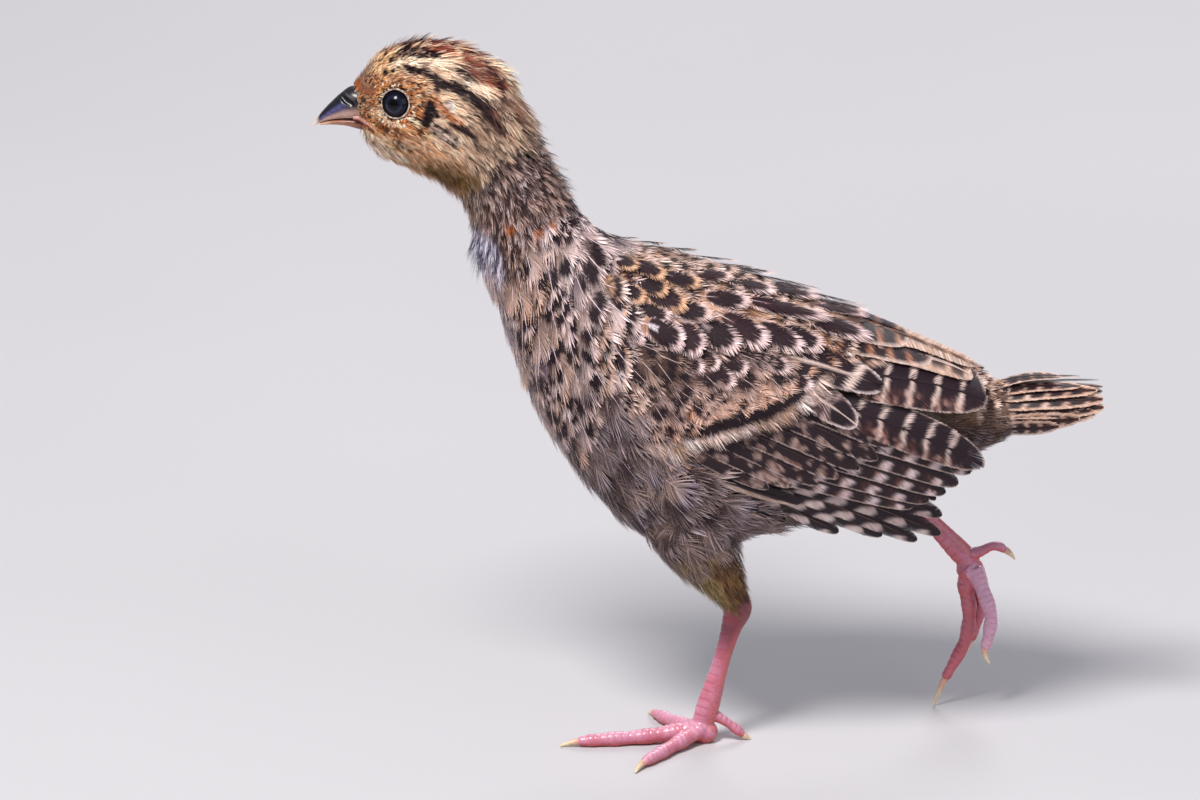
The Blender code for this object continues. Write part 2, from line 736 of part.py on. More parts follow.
def tail_vane(share, tip, sign):
    """One tail feather from the rump to its tip. share runs from the middle pair outwards."""
    turn = math.radians(TAIL_TURNS[0] + (TAIL_TURNS[1] - TAIL_TURNS[0]) * share)
    out = Vector((0.0, math.sin(turn), math.cos(turn)))
    x, z = TAIL_ROOT
    root = Vector((x, TAIL_ARC[0] * out.y, z + TAIL_ARC[1] * out.z))
    bow = TAIL_BOW * (1 - TAIL_BOW_LOSS * share)
    rows = []
    for t, wide, tilt in VANE_SHAPE:
        centre = root.lerp(Vector(tip), t) + out * bow * 4 * t * (1 - t)
        across = Vector((0.0, -math.cos(turn), math.sin(turn)))
        trio = []
        for u in (-1, 0, 1):
            place = centre + across * (u * TAIL_HALF * wide) - out * (TAIL_TILT * tilt * u)
            trio.append((mirrored(place, sign), mirrored(out, sign)))
        rows.append(trio)
    return vane("feather", rows)


def build_tail(rump):
    """The tail feathers, roofed over one another and fused to the fleshy root."""
    rng = np.random.default_rng(TAIL_SEED)
    feathers = []
    for sign in (-1, 1):
        for i in range(TAIL_COUNT):
            share = i / (TAIL_COUNT - 1)
            tip = curve_row(TAIL_TIPS, share) + rng.uniform(-TIP_STRAY, TIP_STRAY, 3)
            feathers.append(tail_vane(share, tip, sign))
    joined(rump, feathers, "MANIFOLD")
    repaint(rump, "wing")


def leg_points(leg):
    return Vector(leg["knee"]), Vector(leg["hock"]), Vector(leg["foot"])


def thigh_form(name, leg, reach, grow=0.0):
    knee, hock, _ = leg_points(leg)
    last = len(THIGH_RADII) - 1
    path = [between(knee, hock, reach * i / last) for i in range(last + 1)]
    return tube(name, path, [r + grow for r in THIGH_RADII], THIGH_SIDES, "feather")


def build_thigh(name, leg, reach):
    """The feathered thigh, clear of the body and of the shank that it holds."""
    thigh = thigh_form(name, leg, reach)
    return carved(thigh, [body_whole("room", TOUCH), shank_form("socket", leg, GAP)])


def shank_form(name, leg, grow=0.0):
    """The bare shank, from inside the hock feathers to just above the toes."""
    knee, hock, foot = leg_points(leg)
    start = Vector(between(knee, hock, TARSUS_START)) + (knee - hock).normalized() * grow
    last = len(TARSUS_RADII) - 2
    path = [start]
    for i in range(last + 1):
        path.append(between(hock, foot, HOCK_SHARE + FOOT_DROP * i / last))
    radii = [r + grow for r in TARSUS_RADII]
    return tube(name, path, radii, TARSUS_SIDES, "leg", flat=TARSUS_FLAT)


def build_foot(side, leg, toes):
    """Toes fused to the pad of one foot, each with its claw as a piece of its own."""
    _, hock, joint = leg_points(leg)
    up = (hock - joint).normalized()
    stem_top = Vector(between(hock, joint, HOCK_SHARE + FOOT_DROP)) - up * GAP
    stem = [stem_top] + [joint + up * place for place in STEM_PLACES]
    foot = tube(f"foot_{side}", stem, STEM_RADII, STEM_SIDES, "leg", flat=STEM_FLAT)
    pad = joint - up * (joint.z - PAD_HEIGHT if side == "left" else PAD_DROP)
    pieces = [ball("pad", pad, FOOT_PAD, "leg", detail=2)]
    for name, points in toes.items():
        radii = TOE_RADII[name]
        pieces.append(tube("toe", points[:TOE_POINTS], radii, TOE_SIDES, "leg"))
        build_claw(f"claw_{side}_{name}", points[TOE_POINTS - 2:], radii[-1])
    joined(foot, pieces)
    cut_plane(foot, Vector((0, 0, 0)), Vector((0, 0, 1)))
    largest(foot)


def build_claw(name, points, root_radius):
    """A curved claw through a toe's last joint, its end and the claw's tip."""
    before, start, tip = (Vector(p) for p in points)
    along = (start - before).normalized()
    start = start + along * GAP
    bend = start + along * (tip - start).length * CLAW_BEND
    path = []
    for share in CLAW_PLACES:
        path.append(start * (1 - share) ** 2 + bend * 2 * share * (1 - share) + tip * share**2)
    radii = [min(r, root_radius) for r in CLAW_RADII]
    claw = tube(name, path, radii, CLAW_SIDES, "claw")
    if min(v.co.z for v in claw.data.vertices) < 0:
        cut_plane(claw, Vector((0, 0, 0)), Vector((0, 0, 1)))


def move_to_origin():
    """Moves every piece so that the origin lies under the standing foot."""
    shift = Matrix.Translation(Vector((-SOLE_AT[0], -SOLE_AT[1], 0.0)) * MM)
    for item in bpy.context.scene.objects:
        item.data.transform(shift)
        item.data.shade_smooth()
        item.data.set_sharp_from_angle(angle=math.radians(SHARP_ANGLE))


def main():
    clear_scene()
    head, neck, torso, rump = build_body()
    build_head(head)
    build_bill(head)
    build_wings()
    build_tail(rump)
    build_thigh("thigh_left", LEFT_LEG, LEFT_REACH)
    build_thigh("thigh_right", RIGHT_LEG, RIGHT_REACH)
    shank_form("shank_left", LEFT_LEG)
    carved(shank_form("shank_right", RIGHT_LEG), [body_whole("room", TOUCH)])
    build_foot("left", LEFT_LEG, LEFT_TOES)
    build_foot("right", RIGHT_LEG, RIGHT_TOES)
    move_to_origin()


main()
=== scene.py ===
"""Looks of a young common pheasant in mid stride. Lengths are in mm with the body's middle plane at y = 0,
and new_object shifts them and scales them to metres."""
import math

import bpy
import numpy as np
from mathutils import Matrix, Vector


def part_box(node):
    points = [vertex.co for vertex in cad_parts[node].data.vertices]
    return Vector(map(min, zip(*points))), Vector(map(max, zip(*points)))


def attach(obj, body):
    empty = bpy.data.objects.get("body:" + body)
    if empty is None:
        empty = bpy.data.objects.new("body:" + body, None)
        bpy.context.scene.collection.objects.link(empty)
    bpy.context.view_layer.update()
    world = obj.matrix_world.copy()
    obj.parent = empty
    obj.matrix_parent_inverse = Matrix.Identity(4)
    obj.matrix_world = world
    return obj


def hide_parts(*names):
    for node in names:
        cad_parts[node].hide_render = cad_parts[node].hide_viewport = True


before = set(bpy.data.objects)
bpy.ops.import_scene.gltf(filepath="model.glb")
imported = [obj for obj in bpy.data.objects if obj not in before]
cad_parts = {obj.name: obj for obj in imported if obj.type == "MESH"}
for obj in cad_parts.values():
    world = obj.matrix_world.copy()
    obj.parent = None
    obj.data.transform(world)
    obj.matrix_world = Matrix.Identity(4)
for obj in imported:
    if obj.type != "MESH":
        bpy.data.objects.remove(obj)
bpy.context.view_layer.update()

MM = 0.001
SHIFT = np.array([0.0, 11.0, 0.0])

# Side outline from the tail root to the face: back x, back z, belly x, belly z, half width.
BODY_STATIONS = (
    (93.0, 103.0, 93.0, 93.0, 4.0),
    (83.0, 107.5, 84.5, 88.0, 9.0),
    (66.0, 114.5, 69.0, 81.0, 16.5),
    (46.0, 124.0, 47.0, 71.5, 21.5),
    (26.0, 133.0, 24.5, 63.5, 24.5),
    (8.0, 140.0, 1.0, 56.5, 25.5),
    (-10.0, 144.0, -18.5, 61.0, 26.0),
    (-22.0, 147.5, -35.5, 79.0, 25.0),
    (-30.5, 152.5, -48.5, 100.5, 21.5),
    (-36.5, 159.0, -57.0, 124.0, 16.5),
    (-41.0, 168.0, -63.5, 143.0, 13.4),
    (-45.5, 177.0, -67.0, 158.0, 12.4),
    (-52.0, 188.0, -73.0, 167.0, 12.6),
    (-58.0, 200.0, -82.0, 171.5, 13.4),
    (-75.5, 207.8, -90.0, 175.0, 12.6),
    (-90.5, 205.0, -94.5, 179.0, 9.3),
    (-97.5, 197.5, -96.0, 182.5, 6.2),
    (-99.3, 194.5, -97.3, 184.5, 4.0),
)
BODY_SQUARE = 0.92
BELLY_FULLNESS = 0.07
BODY_GRID = (260, 128)

UPPER_BILL = (
    (-95.5, 194.6, -92.6, 185.6, 5.2),
    (-99.5, 194.7, -96.5, 186.1, 4.6),
    (-102.2, 193.0, -100.0, 186.1, 3.8),
    (-105.0, 190.4, -103.5, 185.8, 2.9),
    (-107.8, 187.4, -106.8, 185.0, 1.8),
    (-109.6, 184.9, -109.2, 183.8, 0.8),
    (-110.5, 183.5, -110.4, 183.1, 0.35),
)
LOWER_BILL = (
    (-92.6, 185.3, -92.6, 182.3, 4.9),
    (-97.0, 185.8, -97.0, 182.6, 4.0),
    (-101.0, 185.8, -101.0, 183.6, 3.2),
    (-105.0, 185.3, -105.0, 183.8, 2.2),
    (-108.4, 184.2, -108.5, 183.5, 1.1),
)
EYE_AT = (-87.0, 193.3)
EYE_MOVE = (0.75, -0.1, -0.6)
EYE_RADIUS = 4.3

WING_HALF_WIDTH = 32.0
WING_WIDEST_X = 2.0
WING_REACH = 110.0
WING_TAPER = 0.8
WING_MIDDLE_Z = 97.5
WING_BELOW = 56.0
WING_ROUND = 2.1
RIDGE = (142.5, -0.315, -0.0011)
WING_X = (-36.0, 92.0)

LEFT_LEG = {"knee": (-4.0, -13.0, 68.0), "hock": (10.4, -11.0, 41.8), "foot": (0.8, -11.0, 7.0)}
RIGHT_LEG = {"knee": (20.0, 14.5, 84.0), "hock": (52.8, 14.5, 72.7), "foot": (77.6, 15.0, 45.2)}
TARSUS_RADII = (3.6, 4.2, 3.0, 2.5, 2.5, 2.9, 3.3)
# Shares of the way from the knee to the end of the feathered tibia, the first two in the flank, and the
# radii there.
THIGH_PLACES = (-0.42, -0.25, 0.0, 0.333, 0.667, 1.0)
THIGH_RADII = (4.0, 10.0, 12.5, 10.5, 7.4, 3.9)
THIGH_INSET = 1.8
LEFT_TOES = {
    "middle": ((0.5, -11.0, 4.6), (-8.0, -12.0, 3.0), (-18.0, -13.4, 2.2), (-28.0, -14.6, 1.9),
               (-34.6, -15.2, 1.6), (-40.6, -15.8, 0.4)),
    "outer": ((0.5, -11.5, 4.4), (-4.5, -16.0, 2.8), (-9.2, -21.6, 2.1), (-13.2, -27.0, 1.8),
              (-16.2, -31.0, 1.6), (-19.0, -36.5, 0.4)),
    "inner": ((0.5, -10.5, 4.4), (-4.0, -6.0, 2.8), (-8.0, -1.0, 2.1), (-11.0, 3.4, 1.8),
              (-13.0, 6.6, 1.6), (-15.0, 10.0, 0.4)),
    "hind": ((2.6, -10.6, 8.6), (5.6, -10.6, 6.8), (8.4, -10.4, 4.8), (10.4, -10.2, 3.0),
             (11.8, -10.0, 1.8), (14.2, -9.8, 0.3)),
}
RIGHT_TOES = {
    "middle": ((77.0, 15.2, 45.0), (76.6, 15.6, 37.5), (77.6, 16.0, 29.5), (76.4, 16.2, 20.5),
               (71.2, 16.4, 9.6), (67.6, 16.6, 0.3)),
    "outer": ((78.6, 16.8, 43.5), (80.8, 18.6, 37.5), (80.6, 19.8, 31.0), (79.6, 20.6, 24.6),
              (78.4, 21.2, 19.6), (77.0, 21.6, 14.8)),
    "inner": ((78.6, 13.8, 44.0), (81.4, 12.6, 37.0), (83.6, 12.0, 30.0), (83.2, 11.6, 24.6),
              (82.2, 11.4, 20.6), (83.4, 11.2, 15.4)),
    "hind": ((78.2, 14.4, 48.0), (80.8, 14.0, 49.0), (83.4, 13.8, 50.4), (85.6, 13.7, 50.6),
             (87.4, 13.7, 49.6), (90.4, 13.6, 46.6)),
}
TOE_RADII = {
    "middle": (2.6, 2.5, 2.1, 2.0, 1.5),
    "outer": (2.5, 2.3, 2.0, 1.9, 1.4),
    "inner": (2.4, 2.2, 2.0, 1.8, 1.4),
    "hind": (1.7, 1.5, 1.4, 1.4, 1.1),
}
CLAW_RADII = (1.0, 0.9, 0.6, 0.28)


# Numbers and colours

def linear(*rgb):
    """A colour given as 0 to 255 on screen, as linear light."""
    value = np.array(rgb, float) / 255
    return np.where(value <= 0.04045, value / 12.92, ((value + 0.055) / 1.055) ** 2.4)


BROWN = linear(92, 66, 52)


def step(low, high, x):
    """Smooth rise from 0 to 1 between low and high; high below low gives a fall."""
    t = np.clip((x - low) / (high - low), 0.0, 1.0)
    return t * t * (3 - 2 * t)


def mix(a, b, share):
    share = np.asarray(share)[..., None]
    return a * (1 - share) + b * share


def noise(x, y, seed=0.0):
    """Smooth value noise from 0 to 1 over a plane."""
    x, y = np.asarray(x, float) + seed * 17.3, np.asarray(y, float) + seed * 9.1
    i, j = np.floor(x), np.floor(y)
    f, g = x - i, y - j
    f, g = f * f * (3 - 2 * f), g * g * (3 - 2 * g)

    def corner(a, b):
        value = np.sin(a * 127.1 + b * 311.7 + seed * 74.7) * 43758.5453
        return value - np.floor(value)

    low = corner(i, j) * (1 - f) + corner(i + 1, j) * f
    high = corner(i, j + 1) * (1 - f) + corner(i + 1, j + 1) * f
    return low * (1 - g) + high * g


def curve_row(rows, place):
    """The row at a place from 0 to 1 on a smooth curve through rows."""
    rows = np.asarray(rows, float)
    last = len(rows) - 1
    reach = min(max(place, 0.0), 1.0) * last
    i = min(int(reach), last - 1)
    f = reach - i
    a, b = rows[i], rows[i + 1]
    before = rows[i - 1] if i else 2 * a - b
    after = rows[i + 2] if i + 2 <= last else 2 * b - a
    cubic = -before + 3 * a - 3 * b + after
    square = 2 * before - 5 * a + 4 * b - after
    return 0.5 * (2 * a + (b - before) * f + square * f * f + cubic * f**3)


# Surfaces that the feathers grow on

class Surface:
    """A curved sheet over two places from 0 to 1. The first runs against the lie of the feathers."""

    def __init__(self, grid, wraps, centre):
        count_a, count_b = grid.shape[:2]
        along = np.gradient(grid, axis=0) * (count_a - 1)
        if wraps:
            around = (np.roll(grid, -1, 1) - np.roll(grid, 1, 1)) / 2 * count_b
        else:
            around = np.gradient(grid, axis=1) * (count_b - 1)
        normal = np.cross(along, around)
        normal /= np.maximum(np.linalg.norm(normal, axis=2, keepdims=True), 1e-9)
        flip = np.sum(normal * (grid - centre), axis=2, keepdims=True) < 0
        normal = np.where(flip, -normal, normal)
        self.wraps = wraps
        self.size = (count_a, count_b)
        self.layers = np.concatenate([grid, normal, along, around], axis=2)

    def at(self, a, b):
        """Places, normals, and the steps along a and b, for arrays of places."""
        count_a, count_b = self.size
        inside = np.clip(a, 0.0, 1.0)
        fa = inside * (count_a - 1)
        i = np.minimum(fa.astype(int), count_a - 2)
        fa = (fa - i)[..., None]
        if self.wraps:
            fb = (b % 1.0) * count_b
            j = np.floor(fb).astype(int) % count_b
            k = (j + 1) % count_b
            fb = (fb - np.floor(fb))[..., None]
        else:
            fb = np.clip(b, 0.0, 1.0) * (count_b - 1)
            j = np.minimum(fb.astype(int), count_b - 2)
            k = j + 1
            fb = (fb - j)[..., None]
        table = self.layers
        low = table[i, j] * (1 - fb) + table[i, k] * fb
        high = table[i + 1, j] * (1 - fb) + table[i + 1, k] * fb
        found = low * (1 - fa) + high * fa
        point, normal, along, around = found[..., 0:3], found[..., 3:6], found[..., 6:9], found[..., 9:12]
        normal = normal / np.maximum(np.linalg.norm(normal, axis=-1, keepdims=True), 1e-9)
        return point + along * (a - inside)[..., None], normal, along, around


def oval(row, turns, square, fullness):
    """One ring between a top and a bottom point of the side outline."""
    top, bottom = np.array([row[0], row[1]]), np.array([row[2], row[3]])
    middle, half = (top + bottom) / 2, (top - bottom) / 2
    c, s = np.cos(turns), np.sin(turns)
    wide = row[4] * (1 - fullness * c)
    side = np.sign(s) * np.abs(s) ** square * wide
    return np.stack([middle[0] + half[0] * c, side, middle[1] + half[1] * c], axis=1)


def body_surface():
    count_a, count_b = BODY_GRID
    turns = np.arange(count_b) / count_b * 2 * math.pi
    rings = [oval(curve_row(BODY_STATIONS, i / (count_a - 1)), turns, BODY_SQUARE, BELLY_FULLNESS)
             for i in range(count_a)]
    grid = np.stack(rings)
    return Surface(grid, True, grid.mean(axis=1, keepdims=True))


def wing_size(x):
    along = np.maximum(1 - ((x - WING_WIDEST_X) / WING_REACH) ** 2, 0.02)
    middle = WING_MIDDLE_Z + 0.45 * np.maximum(0.0, -5.0 - x)
    ridge = RIDGE[0] + RIDGE[1] * x + RIDGE[2] * x * x
    return WING_HALF_WIDTH * along**WING_TAPER, middle, ridge - middle


def wing_turn(x, z):
    """Share of the way from the ridge of the back round to the lowest line of the wings' surface."""
    _, middle, above = wing_size(x)
    share = (z - middle) / np.where(z > middle, above, WING_BELOW)
    share = np.sign(share) * np.minimum(np.abs(share), 0.998) ** (WING_ROUND / 2)
    return np.arccos(share) / math.pi


def wing_a(x):
    return (WING_X[1] - x) / (WING_X[1] - WING_X[0])


def wing_surface(sign):
    """Outer surface of a folded wing, and of the back between the wings."""
    x = np.linspace(WING_X[1], WING_X[0], 160)[:, None]
    turn = np.linspace(0.0, 1.0, 120)[None, :] * math.pi
    half, middle, above = wing_size(x)
    c, s = np.cos(turn), np.sin(turn)
    power = 2 / WING_ROUND
    z = middle + np.sign(c) * np.abs(c) ** power * np.where(c > 0, above, WING_BELOW)
    y = half * s**power
    grid = np.stack([x + 0 * turn, sign * y, z], axis=2)
    return Surface(grid, False, grid.mean(axis=1, keepdims=True) * np.array([1.0, 0.0, 1.0]))


def tube_grid(path, radii, steps, sides, flat=1.0, bulge=None):
    """Rings of a limb along a path, as an array of rings by sides by three."""
    path = np.array([curve_row(path, i / (steps - 1)) for i in range(steps)])
    radii = np.array([curve_row([(r,) for r in radii], i / (steps - 1))[0] for i in range(steps)])
    along = np.gradient(path, axis=0)
    along /= np.linalg.norm(along, axis=1, keepdims=True)
    side = np.array([0.0, 1.0, 0.0]) if abs(along[0][1]) < 0.7 else np.array([1.0, 0.0, 0.0])
    turns = np.arange(sides) / sides * 2 * math.pi
    rings = []
    for i in range(steps):
        side = side - along[i] * side.dot(along[i])
        side = side / np.linalg.norm(side)
        up = np.cross(along[i], side)
        reach = radii[i] * (bulge(i / (steps - 1), turns) if bulge else 1.0)
        ring = path[i] + (np.outer(np.cos(turns) * flat, side)
                          + np.outer(np.sin(turns), up)) * np.reshape(reach, (-1, 1))
        rings.append(ring)
    return np.stack(rings)


# Meshes

def new_object(name, points, quads, look, colour=None, uv=None, ride=True, smooth=True):
    """An object from points in mm, four-sided or three-sided faces, colours of the points and places for
    baking."""
    mesh = bpy.data.meshes.new(name)
    points = (np.asarray(points, float).reshape(-1, 3) + SHIFT) * MM
    quads = np.asarray(quads, np.int64)
    sides = quads.shape[1]
    mesh.vertices.add(len(points))
    mesh.vertices.foreach_set("co", points.astype(np.float32).ravel())
    mesh.loops.add(quads.size)
    mesh.loops.foreach_set("vertex_index", quads.astype(np.int32).ravel())
    mesh.polygons.add(len(quads))
    mesh.polygons.foreach_set("loop_start", np.arange(0, quads.size, sides, dtype=np.int32))
    mesh.polygons.foreach_set("use_smooth", np.full(len(quads), smooth))
    mesh.update(calc_edges=True)
    mesh.validate()
    if colour is not None:
        layer = mesh.color_attributes.new("Col", "FLOAT_COLOR", "POINT")
        rgba = np.ones((len(points), 4), np.float32)
        rgba[:, :3] = np.clip(np.asarray(colour).reshape(-1, 3), 0, 1)
        layer.data.foreach_set("color", rgba.ravel())
    if uv is not None:
        layer = mesh.uv_layers.new(name="OFBake")
        corners = np.asarray(uv, np.float32).reshape(-1, 2)[quads.ravel()]
        layer.data.foreach_set("uv", corners.ravel())
    mesh.materials.append(look)
    item = bpy.data.objects.new(name, mesh)
    bpy.context.scene.collection.objects.link(item)
    if ride:
        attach(item, "root")
    return item


def grid_faces(count_a, count_b, wraps):
    i = np.arange(count_a - 1)[:, None]
    j = np.arange(count_b if wraps else count_b - 1)[None, :]
    k = (j + 1) % count_b
    return np.stack([i * count_b + j, i * count_b + k, (i + 1) * count_b + k, (i + 1) * count_b + j],
                    axis=2).reshape(-1, 4)


def closed_grid(grid):
    """Points and faces of a ring grid, each end closed by a small fan of four-sided faces."""
    count_a, count_b = grid.shape[:2]
    points = grid.reshape(-1, 3)
    faces = grid_faces(count_a, count_b, True)
    ends = np.stack([grid[0].mean(axis=0), grid[-1].mean(axis=0)])
    points = np.concatenate([points, ends])
    caps = []
    for end, base in ((0, 0), (1, (count_a - 1) * count_b)):
        for j in range(0, count_b, 2):
            ring = [base + j, base + (j + 1) % count_b, base + (j + 2) % count_b]
            caps.append([count_a * count_b + end] + (ring[::-1] if end == 0 else ring))
    return points, np.concatenate([faces, np.array(caps)])


# Materials

def node_material(name, rough, sheen=0.0, coat=0.0, specular=0.5, streak=0.12, grain=900.0, bump=0.15):
    """A material: the points' colours, broken up by fine noise, with its own bump and roughness."""
    made = bpy.data.materials.new(name)
    made.use_nodes = True
    tree = made.node_tree
    shader = tree.nodes["Principled BSDF"]
    shader.inputs["Sheen Weight"].default_value = sheen
    shader.inputs["Sheen Roughness"].default_value = 0.4
    shader.inputs["Coat Weight"].default_value = coat
    shader.inputs["Coat Roughness"].default_value = 0.08
    shader.inputs["Specular IOR Level"].default_value = specular
    colour = tree.nodes.new("ShaderNodeVertexColor")
    colour.layer_name = "Col"
    place = tree.nodes.new("ShaderNodeTexCoord")
    fine = tree.nodes.new("ShaderNodeTexNoise")
    fine.inputs["Scale"].default_value = grain
    fine.inputs["Detail"].default_value = 4.0
    tree.links.new(place.outputs["Object"], fine.inputs["Vector"])
    ramp = tree.nodes.new("ShaderNodeMapRange")
    ramp.inputs["From Min"].default_value = 0.3
    ramp.inputs["From Max"].default_value = 0.7
    ramp.inputs["To Min"].default_value = 1.0 - streak
    ramp.inputs["To Max"].default_value = 1.0 + streak
    tree.links.new(fine.outputs["Fac"], ramp.inputs["Value"])
    tint = tree.nodes.new("ShaderNodeVectorMath")
    tint.operation = "SCALE"
    tree.links.new(colour.outputs["Color"], tint.inputs[0])
    tree.links.new(ramp.outputs["Result"], tint.inputs["Scale"])
    tree.links.new(tint.outputs["Vector"], shader.inputs["Base Color"])
    shine = tree.nodes.new("ShaderNodeMapRange")
    shine.inputs["To Min"].default_value = rough - 0.08
    shine.inputs["To Max"].default_value = rough + 0.08
    tree.links.new(fine.outputs["Fac"], shine.inputs["Value"])
    tree.links.new(shine.outputs["Result"], shader.inputs["Roughness"])
    relief = tree.nodes.new("ShaderNodeBump")
    relief.inputs["Strength"].default_value = bump
    relief.inputs["Distance"].default_value = 0.0002
    tree.links.new(fine.outputs["Fac"], relief.inputs["Height"])
    tree.links.new(relief.outputs["Normal"], shader.inputs["Normal"])
    return made


COAT_LOOK = node_material("plumage", 0.66, sheen=0.03, specular=0.2, streak=0.10, grain=1400.0)
VANE_LOOK = node_material("flight_vanes", 0.52, sheen=0.02, specular=0.28, streak=0.08, grain=1600.0)
SKIN_LOOK = node_material("skin_under_down", 0.75, specular=0.3, streak=0.25, grain=700.0, bump=0.6)
BILL_LOOK = node_material("bill_horn", 0.36, coat=0.1, specular=0.5, streak=0.10, grain=500.0, bump=0.12)
LEG_LOOK = node_material("leg_skin", 0.36, coat=0.3, specular=0.5, streak=0.10, grain=900.0, bump=0.35)
CLAW_LOOK = node_material("claw_horn", 0.35, coat=0.1, specular=0.5, streak=0.12, grain=900.0)
LID_LOOK = node_material("lid_skin", 0.5, specular=0.4, streak=0.15, grain=2500.0, bump=0.4)
EYE_LOOK = node_material("eye_wet", 0.14, coat=0.06, specular=0.2, streak=0.05, grain=900.0, bump=0.0)


# Feathers

def barbs(count, per_side, parts, rng, base=0.1, round_edge=0.75, lean=0.0, fray=0.3, rough=0.1, clump=0.25,
          tip_reach=1.03, tight=0.55, gather=0.94):
    """Local places of the barbs of some feathers: across from -1 to 1, along from 0 to 1, way along the
    barb from 0 to 1, and a random shade for each barb; all as arrays of feathers by points, with the
    faces of one feather. gather is the place on the shaft above which no barb starts."""
    shape = (count, 2, per_side, parts + 1, 2)
    side = np.array([-1.0, 1.0]).reshape(1, 2, 1, 1, 1)
    way = (np.arange(parts + 1) / parts).reshape(1, 1, 1, -1, 1)
    edge = np.array([-1.0, 1.0]).reshape(1, 1, 1, 1, 2)
    order = ((np.arange(per_side) + 0.5) / per_side).reshape(1, 1, -1, 1, 1)
    random = rng.random((4, count, 2, per_side, 1, 1))
    taper = 1.1 * (1 - step(tight, 1.0, way)) + fray * step(tight, 1.0, way)
    q = order + (0.5 * edge * taper + clump * (random[0] - 0.5) * 2 * way**1.5) / per_side
    q = np.clip(q, 0.002, 0.998)
    t = way * (1 - rough * random[1])
    swing = math.pi * q
    end_x = np.sin(swing) ** round_edge * (1 + lean * np.cos(swing))
    middle = (base + tip_reach) / 2 + 0.03
    end_y = middle - (tip_reach - base) / 2 * np.cos(swing)
    root_y = base + (gather - base) * q**1.35
    bend_x, bend_y = 0.55 * end_x, root_y + 0.28 * (end_y - root_y)
    x = 2 * t * (1 - t) * bend_x + t * t * end_x
    y = (1 - t) ** 2 * root_y + 2 * t * (1 - t) * bend_y + t * t * end_y
    x = x * side
    flat = (count, -1)
    x = np.broadcast_to(x, shape).reshape(flat)
    y = np.broadcast_to(y, shape).reshape(flat)
    w = np.broadcast_to(t, shape).reshape(flat)
    shade = np.broadcast_to(random[2] - 0.5, shape).reshape(flat)
    lift = np.broadcast_to((random[3] - 0.5) * way, shape).reshape(flat)
    cell = np.arange(2 * per_side)[:, None] * (parts + 1) * 2 + np.arange(parts)[None, :] * 2
    cell = cell.reshape(-1, 1)
    faces = cell + np.array([[0, 1, 3, 2]])
    return x, y, w, shade, lift, faces


def shafts(count, parts, start=0.0, end=0.97, thick=0.035):
    """Local places of the feathers' shafts, as one strip each."""
    y = np.linspace(start, end, parts + 1)
    wide = thick * (1 - 0.75 * (y - start) / (end - start))
    x = np.stack([-wide, wide], axis=1).reshape(1, -1)
    y = np.stack([y, y], axis=1).reshape(1, -1)
    x, y = np.repeat(x, count, 0), np.repeat(y, count, 0)
    cell = (np.arange(parts) * 2)[:, None]
    return x, y, cell + np.array([[0, 1, 3, 2]])


class Coat:
    """Collects feathers and makes them into pieces of at most LIMIT triangles each."""

    LIMIT = 190000

    def __init__(self, name, look, slot):
        self.name, self.look, self.slot = name, look, slot
        self.blocks = []

    def add(self, points, faces, colour, uv):
        """points, colour and uv are arrays of feathers by points; faces are those of one feather."""
        self.blocks.append((points, faces, colour, uv))

    def build(self):
        made, part, used = [], [], 0
        for points, faces, colour, uv in self.blocks:
            each = len(faces) * 2
            start = 0
            while start < len(points):
                room = (self.LIMIT - used) // each
                if room < 1:
                    made.append(self.piece(part, len(made)))
                    part, used = [], 0
                    continue
                take = min(room, len(points) - start)
                part.append((points[start:start + take], faces, colour[start:start + take],
                             uv[start:start + take]))
                used += take * each
                start += take
        if part:
            made.append(self.piece(part, len(made)))
        return made

    def piece(self, blocks, number):
        points, faces, colours, uvs, base = [], [], [], [], 0
        for point, face, colour, uv in blocks:
            count, each = point.shape[:2]
            points.append(point.reshape(-1, 3))
            colours.append(colour.reshape(-1, 3))
            uvs.append(uv.reshape(-1, 2))
            faces.append((face[None] + (np.arange(count) * each)[:, None, None] + base).reshape(-1, 4))
            base += count * each
        item = new_object(f"{self.name}_{number + 1}", np.concatenate(points), np.concatenate(faces),
                          self.look, np.concatenate(colours), np.concatenate(uvs))
        return item


def bake_place(root_a, root_b, x, y, patch=0.003):
    """Where the points of each tuft lie on the map for baking: a small patch at the root's own place."""
    u = 0.01 + 0.98 * (np.asarray(root_a)[:, None] % 1.0) + patch * 0.5 * np.clip(x, -1, 1)
    v = 0.01 + 0.98 * (np.asarray(root_b)[:, None] % 1.0) + patch * (np.clip(y, 0, 1) - 0.5)
    return np.stack([u, v], axis=2)


def lay(surface, root_a, root_b, heading, length, half, x, y, height):
    """Places of feathers on a surface, each from its root along its heading; height is over the surface."""
    _, _, along, around = surface.at(root_a, root_b)
    size_a = np.maximum(np.linalg.norm(along, axis=-1), 1.0)[:, None]
    size_b = np.maximum(np.linalg.norm(around, axis=-1), 1.0)[:, None]
    forward, across = y * length[:, None], x * half[:, None]
    c, s = np.cos(heading)[:, None], np.sin(heading)[:, None]
    a = root_a[:, None] + (-forward * c + across * s) / size_a
    b = root_b[:, None] + (forward * s + across * c) / size_b
    point, normal, _, _ = surface.at(a, b)
    return point + normal * height[..., None]


